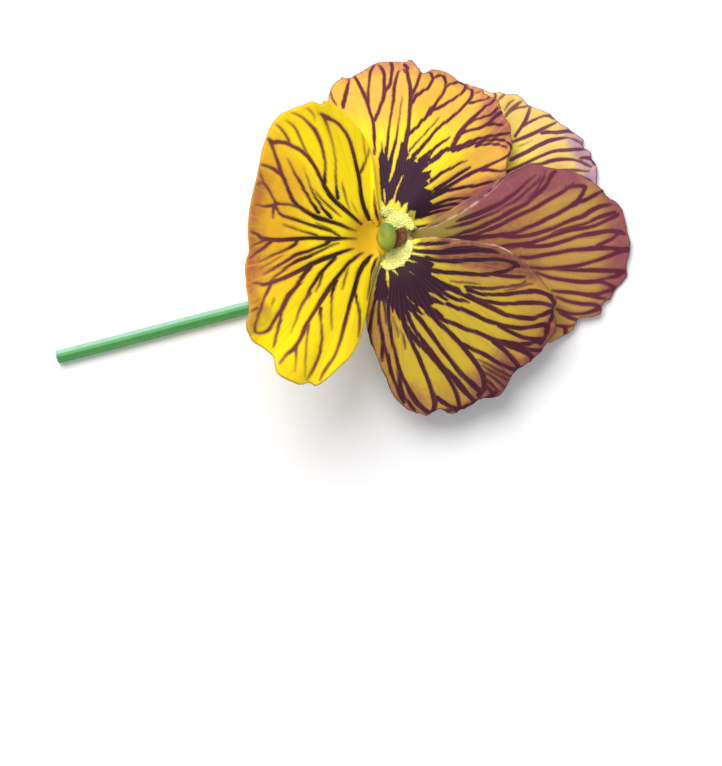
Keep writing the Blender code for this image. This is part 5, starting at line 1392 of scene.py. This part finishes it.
def hair_mesh(roots, directions, bends, lengths, radii):
    """Club-shaped hairs along root + direction·length·t + bend·length·t².

    Their radius is r·(0.6 + 0.8t)·√(1 − t²⁰), where the root is at least 0.2.
    """
    steps, sides = len(HAIR_RINGS), HAIR_SIDES
    t = np.array(HAIR_RINGS)[None, :, None]
    line = (roots[:, None] + directions[:, None] * lengths[:, None, None] * t
            + bends[:, None] * lengths[:, None, None] * t ** 2)
    helper = np.where(np.abs(directions[:, 2:]) < 0.9, UP, np.array((1.0, 0.0, 0.0)))
    side = unit(np.cross(directions, helper))
    up = np.cross(side, directions)
    angles = ring_angles(sides)[:, None]
    ring = side[:, None, None] * np.cos(angles) + up[:, None, None] * np.sin(angles)
    radius = radii[:, None, None] * (0.6 + 0.8 * t) * np.sqrt(np.maximum(1.0 - t ** 20, 0.04))
    points = line[:, :, None] + ring * radius[..., None]
    index = np.arange(points.shape[0] * steps * sides).reshape(-1, steps, sides)
    wrap = np.concatenate([index, index[:, :, :1]], axis=2)
    corners = [wrap[:, :-1, :-1], wrap[:, :-1, 1:], wrap[:, 1:, 1:], wrap[:, 1:, :-1]]
    faces = np.stack(corners, axis=-1).reshape(-1, 4).tolist()
    faces += index[:, 0, ::-1].tolist() + index[:, -1].tolist()
    return points.reshape(-1, 3), faces


def beard_material(sizes):
    """Beard hairs, moist and glassy: pale lime with yellow shadows between them."""
    material, tree, shader = new_material(
        "viola_beard_hair", 0.6, specular=0.3, sheen=0.3, sheen_tint="#fdffd0")
    share = ramp(tree, noise(tree, 0.7, 2.0), 0.35, 0.65)
    colour = mix_colours(tree, share, tuple(sizes.hair_colour), linear("#f2f38a"))
    root = ramp(tree, attribute(tree, "tip"), 0.0, 0.7, 1.0, 0.0)
    paint(tree, shader, mix_colours(tree, root, colour, linear("#f0ee60")))
    return material


def beard_floor(petal, x, y):
    """Height of the cushion that carries a petal's beard."""
    height, bowl, *_ = FEET[petal.name + "_floor"]
    return height + bowl * (np.hypot(x, y) - FOOT_RADIUS) ** 2


def clear_of_anthers(x, y):
    """Where hairs may stand: round the ring of anthers, but not over its rust flaps."""
    left = np.degrees(np.arctan2(y, x)) > 20.0
    right = y < np.maximum(x, 0.8) - 2.0
    return (np.hypot(x, y) > 1.4) & np.where(y > 0.0, left, right)


def make_beard(petal, sizes, material, seed):
    """Club-shaped hairs on the foot of a side petal, drawn at random and leaning in over the throat."""
    draw = np.random.default_rng(seed)
    low, high, turn = BEARD_SPANS[petal.name]
    angle, length = draw.uniform(0.0, 2.0 * math.pi, (2, 3 * sizes.hair_count))
    length = np.sqrt(length / (2.0 * math.pi))
    along, aside = 0.2 + 1.15 * length * np.cos(angle), 2.2 * length * np.sin(angle)
    degrees, reach = np.degrees(np.arctan2(aside, along)) + turn, np.hypot(along, aside)
    x, y = petal_places(petal, degrees, reach)
    facing = (degrees > low) & (degrees < high)
    grown = np.flatnonzero(clear_of_anthers(x, y) & ((reach < 1.0) | facing))[:sizes.hair_count]
    degrees, reach, x, y, facing = (values[grown] for values in (degrees, reach, x, y, facing))
    count = len(grown)
    floor = beard_floor(petal, x, y)
    on_petal = facing & (reach > CLAW_RADIUS)
    z = np.maximum(np.where(on_petal, petal.height(x, y, reach, degrees), floor), floor) + 0.05
    roots = np.stack([x, y, z], axis=-1)
    inward = unit(np.stack([-x, -y, 0.0 * x], axis=-1))
    fan = unit(draw.normal(0.0, 1.0, (count, 3)))
    directions = unit(0.9 * UP + inward * 0.45 * (reach[:, None] - 0.6) + 0.4 * fan)
    bends = -0.35 * inward * draw.uniform(0.0, 1.0, (count, 1)) - 0.25 * UP
    growth = draw.uniform(0.8, 1.05, count) * (1.0 + 0.7 * np.exp(-(reach / 0.9) ** 2))
    radii = sizes.hair_width / MM / 2.0 * draw.uniform(0.75, 1.2, count)
    points, faces = hair_mesh(roots, directions, bends, sizes.hair_length / MM * growth, radii)
    tip = np.tile(np.repeat(HAIR_RINGS, HAIR_SIDES), count)
    name = "viola_beard_" + petal.name.removeprefix("petal_side_")
    make_piece(name, points, faces, material, petal.name, petal.name, tip=tip)


def make_pistil(sizes):
    """Ovary, style and globe-shaped stigma, swept up the pistil's route, with a hollow in the stigma."""
    steps, sides = 90, 64

    def half_sizes(parts):
        """At the head, half width and half depth times √(1 − u²), where u = (p − middle)/half length."""
        ovary = OVARY_RADIUS * (0.75 + 0.25 * np.sin(math.pi * np.minimum(parts / 0.45, 1.0)))
        stalk = ovary * (1.0 - 0.35 * smoothstep(0.3, 0.55, parts)) * np.where(parts < 0.9, 1.0, 0.0)
        stalk = np.maximum(stalk, 0.02)
        head = np.sqrt(np.maximum(1.0 - ((parts - STIGMA_MIDDLE) / STIGMA_HALF_LENGTH) ** 2, 0.0))
        return np.maximum(stalk, STIGMA_HALF_WIDTH * head), np.maximum(stalk, STIGMA_HALF_DEPTH * head)

    rings = sweep(PISTIL_ROUTE, steps, sides, (0.0, 1.0, 0.0), half_sizes, round_section)
    x, y, z = np.moveaxis(rings, -1, 0)
    rings[..., 2] -= 0.35 * np.exp(-((x + 0.75) ** 2 / 0.10 + y ** 2 / 0.5)) * smoothstep(9.0, 9.6, z)
    points = rings.reshape(-1, 3)
    # Stigma: wet plant tissue, smooth, with small bright highlights
    material, tree, shader = new_material("viola_stigma_tissue", 0.5, specular=0.25)
    share = ramp(tree, object_axis(tree, 0), 3.6 * MM, 4.9 * MM)
    colour = mix_colours(tree, share, linear("#9b9c2a"), tuple(sizes.stigma_colour))
    share = ramp(tree, object_axis(tree, 1), 0.2 * MM, 1.3 * MM, 0.0, 0.8)
    colour = mix_colours(tree, share, colour, linear("#568046"))
    share = ramp(tree, noise(tree, 0.5), 0.35, 0.75, 0.0, 0.25)
    paint(tree, shader, mix_colours(tree, share, colour, linear("#a5a83c")))
    faces = outward(points, tube_faces(steps, sides))
    make_piece("viola_pistil", points, faces, material, "pistil", "pistil")


def make_stamens(sizes):
    """Five anthers pressed into a ring: a closed wall whose outside swells five times, with rust flaps."""
    closed = ANTHER_PROFILE + ANTHER_PROFILE[:1]
    line = curve_through(closed, np.linspace(0.0, len(ANTHER_PROFILE), 28, endpoint=False))
    angles = ring_angles(180)
    swell = 0.09 * np.abs(np.cos(2.5 * angles)) ** 0.5 - 0.05
    inner = ANTHER_PROFILE[0][0]
    radius = line[:, :1] + swell * (line[:, :1] - inner) / ANTHER_WALL
    ring = turned(radius, line[:, 1:], angles).reshape(-1, 3)
    index = np.arange(radius.size).reshape(radius.shape)
    index = np.concatenate([index, index[:1]])
    bodies = [(ring, outward(ring, grid_quads(index, closed=True).tolist()))]

    def half_width(parts):
        """Nearly even, with a waved edge, and round at the tip."""
        return 0.48 * np.sqrt(1.0 - 0.9 * parts ** 4) * (1.0 + 0.06 * np.sin(23.0 * parts))

    reaches, heights = np.array(FLAP_ROUTE).T
    for degrees, share in FLAPS:
        out, side = level_directions(degrees)
        route = upright_route(out, reaches * share, heights)
        bodies.append(leaf_body(route, side, 26, 20, half_width, lambda parts: 0.12 - 0.04 * parts, 0.0))
    points, faces = join_bodies(bodies)
    # Anther: dry papery skin, rust-brown tips over a cream body, dusted with pollen
    material, tree, shader = new_material("viola_anther_skin", 0.75, specular=0.2)
    share = ramp(tree, object_axis(tree, 2), 6.2 * MM, 6.9 * MM)
    colour = mix_colours(tree, share, linear("#d8c27a"), tuple(sizes.anther_colour))
    share = ramp(tree, noise(tree, 0.25), 0.5, 0.75, 0.0, 0.5)
    paint(tree, shader, mix_colours(tree, share, colour, linear("#b97a3c")))
    make_piece("viola_anthers", points, faces, material, "stamens", "stamens")


# Calyx and stem


def leaf_body(route, side, steps, sides, half_width, half_thickness, keel):
    """A thin leaf swept along a route: a flat oval section with a keel underneath."""

    def section(parts, angles):
        """(cos a, sin a) with the middle of the underside pushed out by keel·e^(−9·cos² a)."""
        above = np.sin(angles) - keel * np.exp(-9.0 * np.cos(angles) ** 2) * (np.sin(angles) < 0.0)
        return np.cos(angles) + 0.0 * parts, above + 0.0 * parts

    def half_sizes(parts):
        """Half width and half thickness."""
        return half_width(parts), half_thickness(parts)

    rings = sweep(route, steps, sides, side, half_sizes, section)
    points = rings.reshape(-1, 3)
    return points, outward(points, tube_faces(steps, sides))


def green_material(name, main, dark, light):
    """Leaf skin with a thin wax layer: satin, mid green, paler along fine lengthwise veins."""
    material, tree, shader = new_material(name, 0.45, specular=0.35)
    colour = mix_colours(tree, ramp(tree, noise(tree, 1.5, 3.0), 0.3, 0.7), main, dark)
    colour = mix_colours(tree, ramp(tree, noise(tree, 0.4, 2.0), 0.55, 0.75, 0.0, 0.5), colour, light)
    paint(tree, shader, colour)
    return material


def make_calyx(greens):
    """The receptacle, turned round the throat's axis, with five sepals and their ears."""
    steps, sides = 40, 64
    profile = curve_through(RECEPTACLE, np.linspace(0.0, len(RECEPTACLE) - 1, steps))
    angles = ring_angles(sides)
    radius = np.maximum(profile[:, :1], 0.02) * (1.0 + 0.03 * np.cos(5.0 * angles))
    knob = turned(radius, profile[:, 1:], angles).reshape(-1, 3)
    bodies = [(knob, outward(knob, tube_faces(steps, sides)))]

    def sepal_half_width(parts):
        """Widest at 0.3 of the length, pointed at the tip, with a lightly waved edge."""
        lance = 0.55 + 0.45 * smoothstep(0.0, 0.3, parts) - 0.97 * smoothstep(0.3, 1.0, parts)
        return SEPAL_HALF_WIDTH * np.maximum(lance, 0.02) * (1.0 + 0.03 * np.sin(60.0 * parts))

    def sepal_half_thickness(parts):
        """Thinner towards the tip."""
        return SEPAL_HALF_THICKNESS * (1.0 - 0.6 * parts)

    def ear_half_width(parts):
        """A little narrower towards the tip, which is round."""
        return (0.75 - 0.25 * parts) * np.sqrt(1.0 - 0.8 * parts ** 4)

    for degrees, heights, length in SEPALS:
        out, side = level_directions(degrees)
        reaches = SEPAL_ROOT_RADIUS + length * np.linspace(0.0, 1.0, len(heights))
        route = upright_route(out, reaches, heights)
        bodies.append(leaf_body(route, side, 48, 24, sepal_half_width, sepal_half_thickness, 0.5))
        ear = upright_route(out, *np.array(EAR_ROUTE).T)
        bodies.append(leaf_body(ear, side, 20, 20, ear_half_width, lambda parts: 0.28 - 0.1 * parts, 0.2))
    points, faces = join_bodies(bodies)
    material = green_material("viola_sepal_leaf", tuple(greens.sepal), linear("#44702f"), linear("#8fb45c"))
    make_piece("viola_calyx", points, faces, material, "calyx", "calyx")


def stem_section(parts, angles):
    """A pentagon, one corner up, with round corners and slightly hollow sides.

    Radius: cos 36°/cos(angle from the nearest flat), at most 0.92, less 0.05·cos²(2.5·that angle).
    """
    from_flat = np.radians((np.degrees(angles) + 36.0) % 72.0 - 36.0)
    radius = np.minimum(math.cos(math.radians(36.0)) / np.cos(from_flat), 0.92)
    radius = radius - 0.05 * np.cos(2.5 * from_flat) ** 2 + 0.0 * parts
    return radius * np.sin(angles), -radius * np.cos(angles)


def make_stem(greens):
    """The cut stem swept along its route, with two small bracts at the crook."""
    steps, sides = 220, 60
    forward, side = level_directions(STEM_TURN)

    def half_sizes(parts):
        """Radius·(round cut end)·(slimmer at the crook)."""
        cut = np.sqrt(np.clip(0.35 + parts / 0.006, 0.0, 1.0))
        size = STEM_RADIUS * cut * (1.0 - 0.27 * smoothstep(0.72, 1.0, parts))
        return size, size

    body = sweep(STEM_ROUTE, steps, sides, side, half_sizes, stem_section).reshape(-1, 3)
    bodies = [(body, outward(body, tube_faces(steps, sides)))]
    shares = np.linspace(0.0, 1.0, 5)[:, None]
    for sense in (-1.0, 1.0):
        reach = side * sense * (0.35 + 1.5 * shares) - 2.56 * forward * shares + 0.5 * UP * shares
        bodies.append(leaf_body(
            np.array(BRACT_PLACE) + reach, UP, 24, 16, lambda parts: 0.16 * (1.0 - 0.5 * parts),
            lambda parts: 0.5 * (1.0 - 0.9 * parts), 0.1))
    points, faces = join_bodies(bodies)
    flank = np.full(len(points), 0.4)
    degrees = np.degrees(ring_angles(sides))
    # Painted light: this flank is paler partly from its real wax, partly because it faces the light
    wax_and_lit_side = smoothstep(20.0, 50.0, degrees) * (1.0 - smoothstep(140.0, 164.0, degrees))
    flank[:len(body)] = np.tile(wax_and_lit_side, steps)
    cut = np.zeros(len(points))
    cut[:sides] = 1.0
    # Stem skin: ribbed and satin, with one flank paler: partly a real blue-white wax, partly painted light
    # on the side towards the lamp
    material, tree, shader = new_material("viola_stem_skin", 0.42, specular=0.4)
    colour = mix_colours(tree, attribute(tree, "flank"), tuple(greens.stem_lower), tuple(greens.stem_upper))
    share = ramp(tree, noise(tree, 1.2, 3.0), 0.4, 0.75, 0.0, 0.35)
    colour = mix_colours(tree, share, colour, linear("#66a65c"))
    paint(tree, shader, mix_colours(tree, attribute(tree, "cut"), colour, linear("#cfe0b4")))
    make_piece("viola_stem", points, faces, material, "stem", "stem", flank=flank, cut=cut)


# Operators


class VIOLA_OT_petals(bpy.types.Operator):
    """Builds the five petals and the spur"""

    bl_idname = "viola.petals"
    bl_label = "Petals and spur"

    def execute(self, context):
        scene = context.scene
        for petal in PETALS:
            make_petal(petal, scene.viola_petals, getattr(scene, "viola_" + petal.name))
        make_spur(scene.viola_petal_lower)
        return {"FINISHED"}


class VIOLA_OT_beards(bpy.types.Operator):
    """Builds the beards on the feet of the two side petals"""

    bl_idname = "viola.beards"
    bl_label = "Beards"

    def execute(self, context):
        sizes = context.scene.viola_throat
        material = beard_material(sizes)
        for petal in (SIDE_UPPER, SIDE_LOWER):
            make_beard(petal, sizes, material, petal.seed + 2)
        return {"FINISHED"}


class VIOLA_OT_pistil(bpy.types.Operator):
    """Builds the pistil with its stigma"""

    bl_idname = "viola.pistil"
    bl_label = "Pistil"

    def execute(self, context):
        make_pistil(context.scene.viola_throat)
        return {"FINISHED"}


class VIOLA_OT_stamens(bpy.types.Operator):
    """Builds the ring of anthers"""

    bl_idname = "viola.stamens"
    bl_label = "Stamens"

    def execute(self, context):
        make_stamens(context.scene.viola_throat)
        return {"FINISHED"}


class VIOLA_OT_calyx(bpy.types.Operator):
    """Builds the receptacle and the sepals"""

    bl_idname = "viola.calyx"
    bl_label = "Calyx"

    def execute(self, context):
        make_calyx(context.scene.viola_green)
        return {"FINISHED"}


class VIOLA_OT_stem(bpy.types.Operator):
    """Builds the cut stem and its bracts"""

    bl_idname = "viola.stem"
    bl_label = "Stem"

    def execute(self, context):
        make_stem(context.scene.viola_green)
        return {"FINISHED"}


class VIOLA_OT_stage(bpy.types.Operator):
    """Sets up floor, light and camera"""

    bl_idname = "viola.stage"
    bl_label = "Stage"

    def execute(self, context):
        scene = context.scene
        sizes = scene.viola_stage
        mesh = bpy.data.meshes.new("viola_floor")
        corners = [(x * FLOOR_HALF, y * FLOOR_HALF, 0.0) for x, y in ((-1, -1), (1, -1), (1, 1), (-1, 1))]
        mesh.from_pydata(corners, [], [(0, 1, 2, 3)])
        # Floor: matt white board, so smooth that only its shade shows
        material, tree, shader = new_material("viola_floor_board", 0.9, specular=0.1)
        shader.inputs["Base Color"].default_value = (*sizes.floor_colour, 1.0)
        mesh.materials.append(material)
        floor = bpy.data.objects.new("viola_floor", mesh)
        scene.collection.objects.link(floor)

        key = bpy.data.lights.new("viola_key", "AREA")
        key.shape, key.size, key.energy = "DISK", KEY_SIZE, sizes.key_power
        lamp = bpy.data.objects.new("viola_key", key)
        lamp.location = KEY_PLACE
        lamp.rotation_euler = [math.radians(turn) for turn in KEY_TURN]
        scene.collection.objects.link(lamp)

        world = bpy.data.worlds.new("viola_sky")
        world.use_nodes = True
        backdrop = world.node_tree.nodes["Background"]
        backdrop.inputs["Color"].default_value = (*linear("#f7faff"), 1.0)
        backdrop.inputs["Strength"].default_value = sizes.sky_strength
        scene.world = world

        view = bpy.data.cameras.new("viola_camera")
        view.sensor_width, view.sensor_fit, view.lens = 36.0, "HORIZONTAL", sizes.lens
        view.clip_start, view.clip_end = 0.01, 5.0
        camera = bpy.data.objects.new("viola_camera", view)
        camera.location = [place * MM for place in CAMERA_PLACE]
        scene.collection.objects.link(camera)
        scene.camera = camera
        scene.view_settings.view_transform = "Standard"
        return {"FINISHED"}


class VIOLA_PT_panel(bpy.types.Panel):
    """Lists the sizes, the colours and the steps that build the flower"""

    bl_idname = "VIOLA_PT_panel"
    bl_label = "Viola flower"
    bl_space_type = "VIEW_3D"
    bl_region_type = "UI"
    bl_category = "Viola"

    def draw(self, context):
        for key in SETTINGS:
            group = getattr(context.scene, key)
            box = self.layout.box()
            for name in group.__annotations__:
                box.prop(group, name)
        for operator in OPERATORS:
            self.layout.operator(operator.bl_idname)


SETTINGS = {
    "viola_petals": VIOLA_PG_petals, "viola_throat": VIOLA_PG_throat, "viola_green": VIOLA_PG_green,
    "viola_stage": VIOLA_PG_stage, **{"viola_" + name: group for name, group in PALETTE_GROUPS.items()},
}
OPERATORS = (
    VIOLA_OT_petals, VIOLA_OT_beards, VIOLA_OT_pistil, VIOLA_OT_stamens, VIOLA_OT_calyx, VIOLA_OT_stem,
    VIOLA_OT_stage)


def register():
    for group in SETTINGS.values():
        bpy.utils.register_class(group)
    for key, group in SETTINGS.items():
        setattr(bpy.types.Scene, key, PointerProperty(type=group))
    for item in (*OPERATORS, VIOLA_PT_panel):
        bpy.utils.register_class(item)


def unregister():
    for item in (VIOLA_PT_panel, *reversed(OPERATORS)):
        bpy.utils.unregister_class(item)
    for key, group in reversed(SETTINGS.items()):
        delattr(bpy.types.Scene, key)
        bpy.utils.unregister_class(group)


def main():
    register()
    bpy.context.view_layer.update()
    bpy.ops.viola.petals()
    bpy.ops.viola.beards()
    bpy.ops.viola.pistil()
    bpy.ops.viola.stamens()
    bpy.ops.viola.calyx()
    bpy.ops.viola.stem()
    bpy.ops.viola.stage()
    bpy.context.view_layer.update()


if __name__ == "__main__":
    main()
